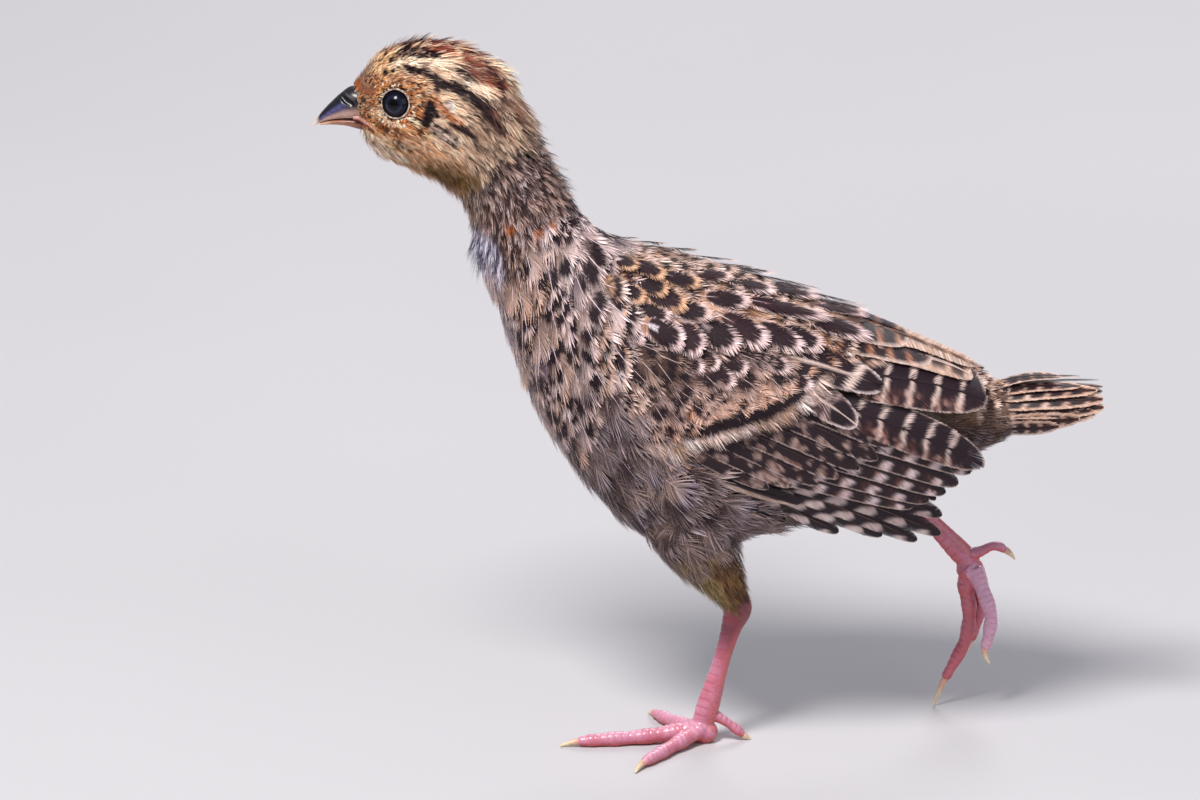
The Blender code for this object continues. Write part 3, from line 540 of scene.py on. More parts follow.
def hairs(count, number, parts, rng, width, spread=0.9, ragged=0.45):
    """Local places of the hairs of some tufts, as barbs() gives them; width is a hair's half width, as a
    share of the tuft's."""
    shape = (count, number, parts + 1, 2)
    way = (np.arange(parts + 1) / parts).reshape(1, 1, -1, 1)
    edge = np.array([-1.0, 1.0]).reshape(1, 1, 1, 2)
    random = rng.random((6, count, number, 1, 1))
    fan = 2 * random[0] - 1
    root_y = 0.35 * random[1]
    end_y = 1.0 - ragged * random[2] * (0.4 + 0.6 * np.abs(fan))
    end_x = spread * fan + 0.25 * (random[3] - 0.5)
    x = 0.45 * fan * (1 - way) + end_x * way + 0.35 * (random[4] - 0.5) * way * way
    x = x + edge * width * (1 - 0.85 * way**1.4)
    y = root_y + (end_y - root_y) * way
    lift = (random[5] - 0.5) * way
    flat = (count, -1)
    x, y, lift = (np.broadcast_to(value, shape).reshape(flat) for value in (x, y, lift))
    w = np.broadcast_to(way, shape).reshape(flat)
    shade = np.broadcast_to(random[3] - 0.5, shape).reshape(flat)
    cell = (np.arange(number)[:, None] * (parts + 1) * 2 + np.arange(parts)[None, :] * 2).reshape(-1, 1)
    return x, y, w, shade, lift, cell + np.array([[0, 1, 3, 2]])


HAIR_HALF = 0.11


def plant(coat, surface, roots, paint, rng, size, height, per_side=10, parts=3, flow=None, shaft=0.035,
          hair=0, wander=0.22, stand=0.35, **form):
    """Feathers at roots of a surface. size gives length and half width, height its start and end over the
    surface, and paint the colours of their points. hair asks for that many loose hairs instead of a
    vane; wander is how far headings stray and stand how far single barbs do."""
    root_a, root_b = roots
    count = len(root_a)
    if not count:
        return
    length, half = size
    length = length * (1 + 0.12 * (rng.random(count) - 0.5))
    half = half * (1 + 0.14 * (rng.random(count) - 0.5))
    heading = (0.0 if flow is None else flow) + wander * (rng.random(count) - 0.5)
    if hair:
        number = hair
        width = HAIR_HALF / half.mean() * hair / number
        x, y, way, shade, lift, faces = hairs(count, number, parts, rng, width, **form)
    else:
        per_side = per_side
        x, y, way, shade, lift, faces = barbs(count, per_side, parts, rng, **form)
    wild = rng.random((count, 6))
    low, high = height
    rise = low[:, None] + (high - low)[:, None] * np.clip(y, 0, 1.1) ** 0.8
    rise = rise - 0.10 * half[:, None] * x * x + lift * stand + (wild[:, :1] - 0.5) * 0.5
    points = lay(surface, root_a, root_b, heading, length, half, x, y, rise)
    home = surface.at(root_a, root_b)[0]
    colour = paint(x, y, way, shade, wild, home, points)
    coat.add(points, faces, colour, bake_place(root_a, root_b, x, y))
    if shaft and not hair:
        sx, sy, faces = shafts(count, 4, thick=shaft)
        rise = low[:, None] + (high - low)[:, None] * np.clip(sy, 0,
                                                              1.1) ** 0.8 + 0.12 + (wild[:, :1] - 0.5) * 0.5
        points = lay(surface, root_a, root_b, heading, length, half, sx, sy, rise)
        colour = paint(sx * 0, sy, sx * 0 - 1.0, sx * 0, wild, home, points)
        coat.add(points, faces, colour, bake_place(root_a, root_b, sx, sy))


def pick(wild, column, x):
    """One random share of each feather, for all its points."""
    return wild[:, column:column + 1] + 0 * x


def towards(surface, root_a, root_b, run):
    """Headings that point along given directions."""
    _, _, along, around = surface.at(root_a, root_b)
    back = along / np.linalg.norm(along, axis=-1, keepdims=True)
    round_it = around / np.linalg.norm(around, axis=-1, keepdims=True)
    return np.arctan2(np.sum(run * round_it, axis=-1), -np.sum(run * back, axis=-1))


def scatter(surface, rng, spacing, keep, jitter=0.7, span=(0.0, 1.0)):
    """Roots in staggered rows over a surface, a spacing in mm apart that may depend on the place."""
    found_a, found_b = [], []
    a, row = span[0], 0
    while a < span[1]:
        probe = np.full(64, a)
        around = np.linspace(0, 1, 64, endpoint=not surface.wraps)
        point, _, along, turn = surface.at(probe, around)
        gap = spacing(point)
        rim = np.linalg.norm(turn, axis=1)
        density = rim / gap
        total = density.mean()
        count = max(int(total), 4)
        share = (np.arange(count) + 0.5 * (row % 2) + jitter * (rng.random(count) - 0.5)) / count
        grow = np.concatenate([[0], np.cumsum((density + np.roll(density, -1)) / 2)])
        grow = grow / grow[-1]
        b = np.interp(share % 1.0, grow, np.concatenate([around, [1.0]]))
        step_a = gap.mean() * 0.8 / np.median(np.linalg.norm(along, axis=1))
        spot_a = a + step_a * jitter * (rng.random(count) - 0.5) * 1.5
        found_a.append(spot_a)
        found_b.append(b)
        a += step_a
        row += 1
    a, b = np.concatenate(found_a), np.concatenate(found_b)
    good = (a > 0.0) & (a < 1.0)
    a, b = a[good], b[good]
    point = surface.at(a, b)[0]
    chosen = keep(point, a, b)
    return a[chosen], b[chosen]


# Markings. Places are points of the body's side view; the two sides of the bird are marked alike.

def stroke(p, line, soft=0.35):
    """How strongly places lie on a line of the side view, given as x, z and half width, from 0 to 1."""
    x, z = p[..., 0], p[..., 2]
    best = np.full(x.shape, 1e6)
    if len(line) == 1:
        line = (line[0], (line[0][0] + 0.01, line[0][1], line[0][2]))
    for (ax, az, wa), (bx, bz, wb) in zip(line, line[1:]):
        dx, dz = bx - ax, bz - az
        t = np.clip(((x - ax) * dx + (z - az) * dz) / (dx * dx + dz * dz), 0, 1)
        reach = np.hypot(x - ax - t * dx, z - az - t * dz) / (wa + (wb - wa) * t)
        best = np.minimum(best, reach)
    return step(1 + soft, 1 - soft, best)


def side_of(p, line):
    """Distance in mm behind a straight line of the side view, above 0 towards the tail."""
    (ax, az), (bx, bz) = line
    length = math.hypot(bx - ax, bz - az)
    return ((p[..., 0] - ax) * (az - bz) + (p[..., 2] - az) * (bx - ax)) / length


HEAD_LINE = ((-70.0, 163.0), (-46.5, 180.0))
CROWN_DARK = ((-89.0, 204.1, 0.5), (-86.6, 205.5, 0.9), (-84.0, 206.4, 1.2), (-80.9, 206.8, 1.2),
              (-75.2, 206.1, 0.6))
CROWN_RUFOUS = ((-82.5, 207.3, 0.9), (-79.6, 207.9, 1.5), (-76.8, 207.9, 1.7), (-73.5, 207.1, 1.5),
                (-71.6, 206.2, 0.8))
NAPE_RUFOUS = ((-69.0, 205.8, 1.2), (-67.0, 204.0, 2.1), (-64.5, 202.0, 2.3), (-61.0, 200.6, 1.6),
               (-58.0, 197.5, 1.2))
NAPE_DARK = ((-70.6, 202.9, 0.9), (-68.0, 201.4, 0.9), (-65.5, 200.2, 0.5))
NAPE_TIP = ((-62.5, 202.6, 0.6), (-59.5, 199.6, 0.9), (-57.0, 195.0, 0.8))
BROW_LINE = ((-84.9, 203.2, 0.4), (-81.9, 202.8, 0.75), (-79.1, 202.3, 1.05), (-76.9, 201.2, 1.15),
             (-74.4, 200.0, 1.25), (-71.9, 199.1, 1.35), (-69.4, 198.0, 1.4), (-66.8, 196.5, 1.5),
             (-64.4, 194.6, 1.5), (-60.8, 191.4, 1.1), (-57.0, 186.5, 0.8))
DARK_DROPS = (((-75.7, 198.2, 1.1),), ((-90.1, 201.4, 0.75),), ((-88.1, 202.0, 0.55),),
              ((-83.6, 189.0, 0.6),), ((-80.6, 189.6, 0.6),), ((-96.2, 192.8, 0.75),))
EAR_BLACK = ((-77.3, 194.6, 0.6), (-77.5, 191.4, 1.5), (-78.8, 188.2, 0.8))
EAR_REAR = ((-76.6, 191.8, 0.8), (-75.2, 190.4, 0.5))
EAR_RUFOUS = ((-77.0, 195.4, 1.0), (-74.7, 193.2, 1.2), (-72.1, 190.8, 1.1), (-69.0, 188.9, 0.9))
EAR_SMUDGE = ((-71.4, 188.5, 0.8), (-68.4, 187.2, 1.1), (-65.3, 185.2, 0.9))
EAR_PALE = ((-72.0, 193.4, 1.5),)
CRESCENT = ((-92.0, 186.6, 0.7), (-88.6, 184.9, 0.9), (-85.8, 184.2, 0.9), (-82.7, 184.7, 0.9),
            (-79.4, 187.0, 0.7))
LORE = ((-97.0, 196.2, 1.6), (-95.0, 195.6, 1.9))
EYE_PALE = ((-93.4, 190.3, 1.2), (-91.4, 189.8, 1.7), (-88.8, 187.6, 0.7), (-84.5, 187.3, 0.6))
EAR_FAN = ((-76.2, 187.2, 1.7), (-73.9, 185.6, 2.2), (-71.0, 183.4, 1.6))
CHEEK_DARK = ((-87.2, 182.0, 0.9), (-86.0, 181.0, 1.1), (-83.4, 180.4, 0.7))
CHIN = ((-96.0, 183.2, 1.4), (-93.3, 180.8, 2.0), (-89.6, 178.2, 2.0), (-85.0, 176.4, 1.4))
THROAT = ((-79.0, 174.4, 1.6), (-73.0, 172.0, 2.8), (-66.5, 171.0, 3.0))
BROW_PALE = ((-88.0, 203.2, 0.9), (-82.8, 204.9, 0.95), (-77.7, 204.4, 1.2), (-72.9, 204.3, 1.6),
             (-68.0, 200.5, 1.0), (-62.5, 197.0, 1.4))
ORANGE_SPOTS = ((-55.1, 157.8, 1.2), (-47.2, 156.8, 1.3), (-43.6, 158.6, 0.9))
NECK_EDGE = ((-71.0, 165.0), (-61.0, 140.0))
NECK_FRONT = ((-70.0, 164.0, 4.0), (-66.0, 157.0, 4.5), (-62.0, 149.0, 4.5), (-59.0, 141.0, 3.0))


def head_colour(p, wild):
    """Colours of the head and face; wild is a random share for each tuft."""
    x, y, z = p[..., 0], np.abs(p[..., 1]), p[..., 2]
    wild = np.asarray(wild) + 0 * x
    stray = p + 0.9 * np.stack([noise(x * 1.3, z * 1.3, 2.0) - 0.5, 0 * x,
                                noise(x * 1.3, z * 1.3, 3.0) - 0.5], axis=-1)
    patch = noise(x * 0.5 + y * 0.3, z * 0.6, 1.0)
    colour = mix(linear(252, 230, 212), linear(238, 200, 168), patch)
    rear = step(-74.0, -60.0, x) * step(200.0, 192.0, z + (x + 60) * 0.3)
    colour = mix(colour, mix(linear(170, 148, 130), linear(214, 194, 176), patch), 0.8 * rear)
    back = step(-69.0, -62.0, x) * step(181.0, 188.0, z)
    colour = mix(colour, mix(linear(96, 60, 50), linear(150, 100, 78), patch),
                 0.8 * back * step(0.56, 0.64, wild))
    colour = mix(colour, linear(72, 48, 44), 0.7 * rear * step(0.30, 0.24, wild))
    face = step(-75.0, -81.0, x) * step(202.5, 198.5, z) * step(182.0, 185.5, z)
    stipple = mix(linear(228, 166, 102), linear(204, 134, 74), step(0.3, 0.8, patch))
    colour = mix(colour, stipple, 0.9 * face)
    colour = mix(colour, linear(62, 36, 26), 0.95 * face * step(0.72, 0.76, wild))
    colour = mix(colour, linear(244, 220, 190), face * step(0.20, 0.14, wild))
    colour = mix(colour, linear(244, 206, 166),
                 0.75 * step(-84.0, -90.0, x) * step(199.0, 202.5, z) * step(0.3, 0.4, wild))
    colour = mix(colour, linear(250, 226, 208), 0.9 * stroke(stray, BROW_PALE))
    light = step(0.58, 0.66, wild)
    rufous = mix(linear(132, 58, 36), linear(178, 94, 58), patch)
    colour = mix(colour, rufous, 0.95 * stroke(stray, CROWN_RUFOUS) * (1 - 0.7 * light))
    colour = mix(colour, rufous, 0.9 * stroke(stray, NAPE_RUFOUS) * (1 - 0.7 * light))
    middle = step(3.4, 1.6, y) * step(-60.0, -64.0, x) * step(202.0, 204.0, z) * step(-93.0, -90.0, x)
    colour = mix(colour, mix(linear(142, 74, 48), linear(232, 198, 172), light), middle)
    colour = mix(colour, linear(44, 22, 22), middle * step(0.2, 0.14, wild))
    colour = mix(colour, linear(38, 18, 20), stroke(stray, CROWN_DARK) * (1 - 0.5 * light))
    colour = mix(colour, linear(58, 34, 36), 0.9 * stroke(stray, NAPE_DARK) * (1 - 0.5 * light))
    colour = mix(colour, linear(72, 42, 42), 0.85 * stroke(stray, NAPE_TIP) * (1 - 0.6 * light))
    brow = mix(linear(36, 24, 30), linear(84, 54, 52), step(0.4, 0.9, wild))
    colour = mix(colour, brow, stroke(stray, BROW_LINE, 0.25) * (1 - 0.45 * light))
    colour = mix(colour, mix(linear(206, 116, 40), linear(220, 146, 76), patch), 0.9 * stroke(p, LORE, 0.5))
    colour = mix(colour, linear(248, 234, 220), 0.9 * stroke(p, EYE_PALE, 0.5) * step(0.42, 0.48, wild))
    colour = mix(colour, mix(linear(164, 92, 44), linear(112, 74, 34), patch),
                 0.8 * stroke(stray, CRESCENT, 0.5) * step(0.2, 0.3, wild))
    cheek = step(185.0, 182.5, z) * step(176.5, 179.0, z) * step(-90.0, -86.0, x) * step(-70.0, -75.0, x)
    colour = mix(colour, mix(linear(190, 138, 88), linear(216, 174, 136), patch),
                 0.8 * cheek * step(0.2, 0.3, wild))
    low = step(182.5, 178.5, z + (x + 88) * 0.15) * step(-64.0, -70.0, x)
    colour = mix(colour, mix(linear(206, 168, 130), linear(158, 116, 70), step(-86.0, -72.0, x)), 0.8 * low)
    colour = mix(colour, linear(132, 106, 50), 0.88 * stroke(p, THROAT, 0.6))
    colour = mix(colour, linear(244, 228, 214), 0.9 * stroke(p, CHIN, 0.5) * step(0.14, 0.24, wild))
    colour = mix(colour, linear(56, 40, 36), 0.9 * stroke(stray, CHEEK_DARK, 0.5) * step(0.3, 0.4, wild))
    colour = mix(colour, linear(206, 190, 184), 0.8 * stroke(p, EAR_FAN, 0.5))
    colour = mix(colour, linear(76, 62, 64), stroke(p, EAR_FAN, 0.4) * step(0.6, 0.68, wild))
    colour = mix(colour, linear(238, 228, 228), 0.9 * stroke(p, EAR_PALE, 0.5))
    colour = mix(colour, mix(linear(178, 106, 50), linear(206, 146, 90), patch),
                 0.9 * stroke(stray, EAR_RUFOUS, 0.4))
    colour = mix(colour, linear(50, 34, 30), 0.95 * stroke(stray, EAR_SMUDGE, 0.4))
    colour = mix(colour, linear(6, 5, 6), stroke(p, EAR_BLACK, 0.2))
    colour = mix(colour, linear(12, 9, 10), stroke(p, EAR_REAR, 0.3))
    for drop in DARK_DROPS:
        colour = mix(colour, linear(36, 22, 26), 0.95 * stroke(p, drop, 0.3))
    return colour


def body_ground(p):
    """The plumage's middle colour at a place, also for the skin under it."""
    x, y, z = p[..., 0], np.abs(p[..., 1]), p[..., 2]
    patch = noise(x * 0.18 + 3, z * 0.2 + y * 0.1, 5.0)
    colour = mix(linear(206, 178, 148), linear(226, 204, 180), patch)
    low = step(118.0, 96.0, z + (x + 10) * 0.3)
    colour = mix(colour, mix(linear(150, 142, 142), linear(174, 162, 154), patch), low)
    front = step(-38.0, -52.0, x + (z - 120) * 0.25) * step(150.0, 135.0, z)
    colour = mix(colour, mix(linear(196, 176, 152), linear(184, 174, 172), patch), 0.8 * front)
    neck = step(147.0, 160.0, z - (x + 50) * 0.35)
    colour = mix(colour, mix(linear(166, 146, 126), linear(192, 172, 152), patch), neck)
    colour = mix(colour, mix(linear(206, 202, 208), linear(222, 208, 186), patch),
                 0.85 * stroke(p, NECK_FRONT, 0.5))
    face = step(-5.0, 2.0, -side_of(p, HEAD_LINE))
    colour = mix(colour, head_colour(p, 0.5), face)
    vent = step(60.0, 80.0, x) * step(98.0, 92.0, z)
    colour = mix(colour, linear(132, 110, 88), vent)
    return colour


COOL = np.array([0.98, 0.955, 1.10])
WARM = np.array([1.03, 0.99, 0.93])
DEEPEST = np.array([0.013, 0.006, 0.009])


def barb_tone(colour, shade, way, depth=0.45, tint=COOL):
    """Light and dark from barb to barb, and a lighter end; middle tones turn deeper than the pale ones."""
    colour = np.clip(colour * (1 + depth * shade + 0.08 * np.clip(way, 0, 1))[..., None], 0, 1)
    grey = colour.mean(axis=-1, keepdims=True)
    return np.clip(colour * tint * (grey + 0.7 * (colour - grey)) ** 0.46 + DEEPEST, 0, 1)


def shaft_over(colour, way, y, tone, start=0.15, end=0.96):
    """The tone of the shaft, which is the part with way below 0."""
    return mix(colour, tone, (way < 0) * step(start, start + 0.1, y) * step(end + 0.04, end, y))


def paint_head(x, y, way, shade, wild, home, points):
    at = home[:, None, :] * 0.35 + points * 0.65
    colour = head_colour(at, pick(wild, 1, x))
    bright = (0.82 + 0.36 * pick(wild, 2, x))[..., None]
    loose = step(-88.0, -80.0, at[..., 0])
    tip = 0.65 * step(0.5, 1.0, y) * step(0.3, 0.6, pick(wild, 4, x)) * loose * step(0.04, 0.4,
                                                                                     colour.mean(axis=-1))
    colour = mix(colour * bright * (0.62 + 0.38 * step(0.0, 0.5, y))[..., None], linear(255, 238, 222), tip)
    colour = mix(colour, linear(8, 6, 7),
                 np.maximum(stroke(points, EAR_BLACK, 0.15), stroke(points, EAR_REAR, 0.3)))
    near_brow = stroke(points + 1.5 * (pick(wild, 3, x) - 0.5)[..., None], BROW_LINE, 0.3)
    brow = mix(linear(30, 14, 20), linear(70, 38, 38), pick(wild, 1, x))
    colour = mix(colour, brow, 0.9 * near_brow * step(0.78, 0.62, pick(wild, 5, x)))
    return barb_tone(colour, shade, way, 0.75, WARM)


def paint_neck(x, y, way, shade, wild, home, points):
    """Locks of hair-like feathers: dark roots, and pale pinkish ends on those that lie on top."""
    at = home[:, None, :] * 0.5 + points * 0.5
    ground = body_ground(at)
    rear = step(-5.0, 5.0, side_of(at, ((-62.0, 178.0), (-66.0, 150.0))))
    brown = mix(linear(46, 32, 32), linear(104, 80, 66), pick(wild, 3, x))
    dusky = step(0.2, 0.3, pick(wild, 1, x)) * (0.2 + 0.75 * rear)
    colour = mix(ground * 0.62, brown, dusky)
    pale = mix(linear(255, 236, 226), linear(228, 196, 170), pick(wild, 5, x))
    pale = mix(pale, linear(214, 204, 172), 0.6 * (1 - rear))
    tip = step(0.45, 0.85, y) * step(0.42, 0.55, pick(wild, 4, x))
    colour = mix(colour, pale, 0.92 * tip)
    cool = 0.85 * stroke(at, NECK_FRONT, 0.5) * step(159.0, 152.0, at[..., 2])
    colour = mix(colour,
                 mix(linear(120, 120, 142), linear(238, 238, 248), step(0.3, 0.7, pick(wild, 2, x))), cool)
    for spot in ORANGE_SPOTS:
        colour = mix(colour, linear(216, 136, 48), 0.85 * stroke(at, (spot,), 0.6))
    return barb_tone(colour * (0.85 + 0.3 * pick(wild, 2, x))[..., None], shade, way, 0.8)


BREAST_LINE = ((-18.5, -35.5, -48.5, -57.0, -63.5, -67.0), (61.0, 79.0, 100.5, 124.0, 143.0, 158.0))


def paint_breast(x, y, way, shade, wild, home, points):
    """Fans of fine pale barbs, many with a pair of dark spots at either side of a white shaft."""
    at = home[:, None, :] * 0.7 + points * 0.3
    ground = body_ground(at)
    height = home[:, None, 2] + 0 * x
    front = home[:, None, 0] + 0 * x - np.interp(height, BREAST_LINE[1], BREAST_LINE[0])
    spots_here = step(84.0, 100.0, height) * step(3.0, 8.0, front)
    edge = step(9.0, 3.0, front)
    tip = step(0.5, 0.95, y)
    pale = mix(linear(248, 230, 218), linear(222, 188, 156), pick(wild, 0, x) * step(30.0, 12.0, front))
    ground = mix(ground * (0.42 + 0.30 * pick(wild, 2, x))[..., None], pale,
                 tip * (0.55 + 0.45 * pick(wild, 4, x)))
    lilac = step(0.6, 0.8, pick(wild, 5, x)) * step(0.95, 0.5, y)
    ground = mix(ground, linear(122, 114, 136), 0.55 * lilac)
    ground = mix(ground, mix(linear(196, 190, 196), linear(214, 200, 176), pick(wild, 4, x)),
                 0.5 * edge * step(0.2, 0.7, y))
    ground = mix(ground, linear(62, 48, 46), 0.45 * step(0.28, 0.42, shade) * step(1.0, 0.7, y))
    single = pick(wild, 3, x) < 0.45
    side = np.where(single, np.where(pick(wild, 2, x) < 0.5, 1.0, -1.0) * x, np.abs(x))
    reach = 0.33 + 0.13 * pick(wild, 2, x)
    lobe = np.hypot((side - 0.36) / reach,
                    (y - 0.74 - 0.1 * (pick(wild, 4, x) - 0.5)) / (0.145 + 0.05 * pick(wild, 0, x)))
    has = step(0.06, 0.1, pick(wild, 1, x)) * spots_here
    ground = mix(ground, mix(linear(24, 14, 22), linear(50, 32, 38), pick(wild, 3, x)),
                 step(1.1, 0.92, lobe) * has)
    ground = shaft_over(ground, way, y, linear(244, 230, 224), 0.15, 0.97)
    return barb_tone(ground, shade, way, 0.5)


def paint_flank(x, y, way, shade, wild, home, points):
    """Loose grey fans with pale shafts and ends over dark bases."""
    at = home[:, None, :] * 0.7 + points * 0.3
    ground = body_ground(at)
    pale = mix(linear(206, 198, 208), linear(186, 172, 160), pick(wild, 0, x))
    colour = mix(ground * (0.24 + 0.44 * step(0.0, 0.6, y))[..., None], pale,
                 (0.45 + 0.45 * pick(wild, 4, x)) * step(0.55, 0.98, y))
    dusky = step(0.48, 0.56, pick(wild, 1, x)) * step(62.0, 72.0, at[..., 2])
    blot = step(0.75, 0.4, np.abs(x)) * step(0.36, 0.5, y) * step(0.84, 0.74, y)
    colour = mix(colour, linear(50, 38, 40), dusky * blot * 0.8)
    colour = shaft_over(colour, way, y, linear(216, 206, 200), 0.15, 0.97)
    colour = mix(colour, linear(56, 44, 44), 0.6 * step(0.26, 0.38, shade) * step(1.0, 0.9, y))
    return barb_tone(colour * (0.72 + 0.4 * pick(wild, 2, x))[..., None], shade, way, 1.1)


def paint_mantle(x, y, way, shade, wild, home, points):
    """Tan and buff fans barred with dark crescents behind pale fringes."""
    warm = mix(linear(220, 184, 146), linear(190, 150, 112), pick(wild, 2, x))
    colour = mix(warm * 0.8, linear(246, 226, 208), step(0.72, 0.9, y) * (0.5 + 0.5 * pick(wild, 4, x)))
    place = 0.70 + 0.06 * (pick(wild, 0, x) - 0.5) - 0.22 * x * x
    wide = 0.085 + 0.05 * pick(wild, 3, x)
    outer = step(1.15, 0.85, np.abs(y - place) / wide) * step(0.92, 0.72, np.abs(x))
    inner = step(1.15, 0.85, np.abs(y - place + 0.27) / (0.7 * wide)) * step(0.8, 0.6, np.abs(x))
    shape = np.maximum(outer, inner * step(0.3, 0.4, pick(wild, 5, x))) * step(0.08, 0.12, pick(wild, 1, x))
    colour = mix(colour, mix(linear(34, 20, 26), linear(66, 42, 40), pick(wild, 5, x)), shape)
    colour = shaft_over(colour, way, y, linear(244, 228, 212), 0.12, 0.5)
    return barb_tone(colour, shade, way, 0.55)


def eye_line(body):
    """The middle of the left eye, and the direction that it looks in, square to the skin."""
    points, normals = body.layers[..., 0:3], body.layers[..., 3:6]
    gap = np.hypot(points[..., 0] - EYE_AT[0], points[..., 2] - EYE_AT[1]) + 100.0 * (points[..., 1] > 0)
    out = normals[np.unravel_index(gap.argmin(), gap.shape)]
    low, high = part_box("eye_left")
    middle = (np.array(low) + np.array(high)) / 2 / MM - SHIFT
    return middle + np.array(EYE_MOVE), out / np.linalg.norm(out)


BODY = body_surface()
WINGS = {"left": wing_surface(-1), "right": wing_surface(1)}
EYE_MIDDLE, EYE_OUT = eye_line(BODY)


WING_LOW = ((-30.0, -19.0, -8.0, 17.0, 42.0, 67.0, 90.0), (124.6, 104.6, 87.0, 74.0, 69.0, 68.0, 80.0))
WING_HIGH = ((-30.0, -12.0, 12.0, 34.0, 50.0, 80.0), (135.0, 137.0, 133.0, 125.5, 119.0, 108.0))


def under_wing(p, rim=6.0):
    x, z = p[..., 0], p[..., 2]
    low = np.interp(x, *WING_LOW) + rim
    high = np.interp(x, *WING_HIGH) - rim
    return (x > -23.0 + rim) & (x < 70.0) & (z > low) & (z < high) & (np.abs(p[..., 1]) > 8)


def level(value):
    return lambda p: np.full(p.shape[:-1], float(value))


def build_body_coat(body):
    rng = np.random.default_rng(11)
    coat = Coat("coat_body", COAT_LOOK, "feathers")

    def group(gap, keep, span, paint, length, share, rise, fall=None, **form):
        a, b = scatter(body, rng, level(gap), keep, span=span)
        if fall is not None:
            home = body.at(a, b)[0]
            front = home[:, 0] - np.interp(home[:, 2], BREAST_LINE[1], BREAST_LINE[0])
            turn = np.radians(np.interp(front, *fall))
            run = np.stack([np.cos(turn), 0 * turn, -np.sin(turn)], axis=1)
            form["flow"] = towards(body, a, b, run)
        size = length * (0.85 + 0.3 * rng.random(len(a)))
        low = np.full(len(a), rise[0])
        high = rise[1] + (rise[2] - rise[1]) * rng.random(len(a)) ** 2
        place = body.at(a, b)[0]
        high = high + 2.4 * step(10.0, 3.0,
                                 gap_to(WING_RIM, place[:, 0], place[:, 2])) * (np.abs(place[:, 1]) > 8)
        over_thigh = np.hypot(place[:, 0] - LEFT_LEG["knee"][0] + 5.0,
                              place[:, 2] - LEFT_LEG["knee"][2] - 17.0)
        high = high + 3.6 * step(15.0, 7.0, over_thigh) * (place[:, 1] < -10)
        plant(coat, body, (a, b), paint, rng, (size, share * size), (low, high), **form)

    def belly(p, a, b):
        return ~under_wing(p) & (np.abs(b - 0.5) < 0.27)

    def back(p, a, b):
        return ~under_wing(p) & (np.abs(b - 0.5) >= 0.25)

    def bare_of_wing(p, a, b):
        return ~under_wing(p)

    def front_tuft(p, a, b):
        return (np.hypot(p[..., 0] + 64.5, p[..., 2] - 148.5) < 4.0) & (np.abs(p[..., 1]) < 5.0)

    def vent(p, a, b):
        return (p[..., 0] > 66.0) & (p[..., 2] < 106.0)

    group(3.2, vent, (0.0, 0.16), paint_vent, 9.0, 0.26, (-1.6, 0.0, 0.8), hair=14, parts=3, wander=0.6,
          stand=0.8)
    group(5.0, belly, (0.03, 0.46), paint_flank, 15.0, 0.40, (-2.6, -0.2, 1.2),
          ((0.0, 6.0, 16.0, 34.0), (66.0, 48.0, 34.0, 24.0)), per_side=32, parts=3, fray=0.07, rough=0.2,
          clump=1.3, round_edge=0.5, tight=0.4, shaft=0.02, wander=0.4, stand=0.8, gather=0.66)
    group(5.2, back, (0.03, 0.46), paint_mantle, 12.0, 0.40, (-2.2, 0.0, 0.8), per_side=24, parts=4,
          fray=0.1, rough=0.14, clump=0.7, round_edge=0.6, wander=0.4, stand=0.6, gather=0.75)
    group(5.2, bare_of_wing, (0.45, 0.62), paint_breast, 13.0, 0.42, (-2.4, 0.0, 1.1),
          ((0.0, 6.0, 14.0, 30.0), (78.0, 58.0, 47.0, 40.0)), per_side=46, parts=4, fray=0.14, rough=0.12,
          clump=0.9, round_edge=0.5, tight=0.6, shaft=0.034, wander=0.4, stand=0.6, gather=0.72)
    # gap, length, hairs, stray, lift, spread of the ends
    for gap, long, hair, stray, lift, spread in ((1.6, 5.2, 8, 0.6, 0.9, 0.9),
                                                 (2.1, 6.6, 8, 0.8, 2.6, 0.35)):
        a, b = scatter(body, rng, level(gap), lambda p, a, b: a > 0, span=(0.575, 0.735))
        home = body.at(a, b)[0]
        size = long * (0.8 + 0.4 * rng.random(len(a)))
        nape = step(0.2, 0.05, np.minimum(b, 1 - b))
        high = 0.3 + lift * (0.3 + nape) * rng.random(len(a))
        fall = np.radians(np.interp(side_of(home, NECK_EDGE), (0.0, 8.0, 22.0), (80.0, 60.0, 34.0)))
        run = np.stack([np.cos(fall), 0 * fall, -np.sin(fall)], axis=1)
        plant(coat, body, (a, b), paint_neck, rng, (size, 0.2 * size), (np.full(len(a), -1.4), high),
              hair=hair, parts=3, wander=stray, stand=1.0, flow=towards(body, a, b, run), spread=spread)
    a, b = scatter(body, rng, level(1.6), front_tuft, span=(0.55, 0.68))
    one = np.ones(len(a))
    plant(coat, body, (a, b), paint_neck, rng, (7.0 * one, 1.0 * one),
          (-1.0 * one, 1.5 + 2.6 * rng.random(len(a))), hair=10, parts=3, wander=0.9, stand=1.2)
    coat.build()


def paint_vent(x, y, way, shade, wild, home, points):
    """Brownish down round the root of the tail."""
    colour = mix(linear(120, 96, 76), linear(176, 150, 124), pick(wild, 1, x))
    colour = mix(colour * 0.8, linear(212, 192, 172), 0.5 * step(0.5, 1.0, y))
    return barb_tone(colour, shade, way, 0.7)


def near_eye(p):
    """Distance in mm from the line that an eye looks along, for places of either side."""
    q = np.stack([p[..., 0], -np.abs(p[..., 1]), p[..., 2]], axis=-1) - EYE_MIDDLE
    return np.linalg.norm(q - (q @ EYE_OUT)[..., None] * EYE_OUT, axis=-1)


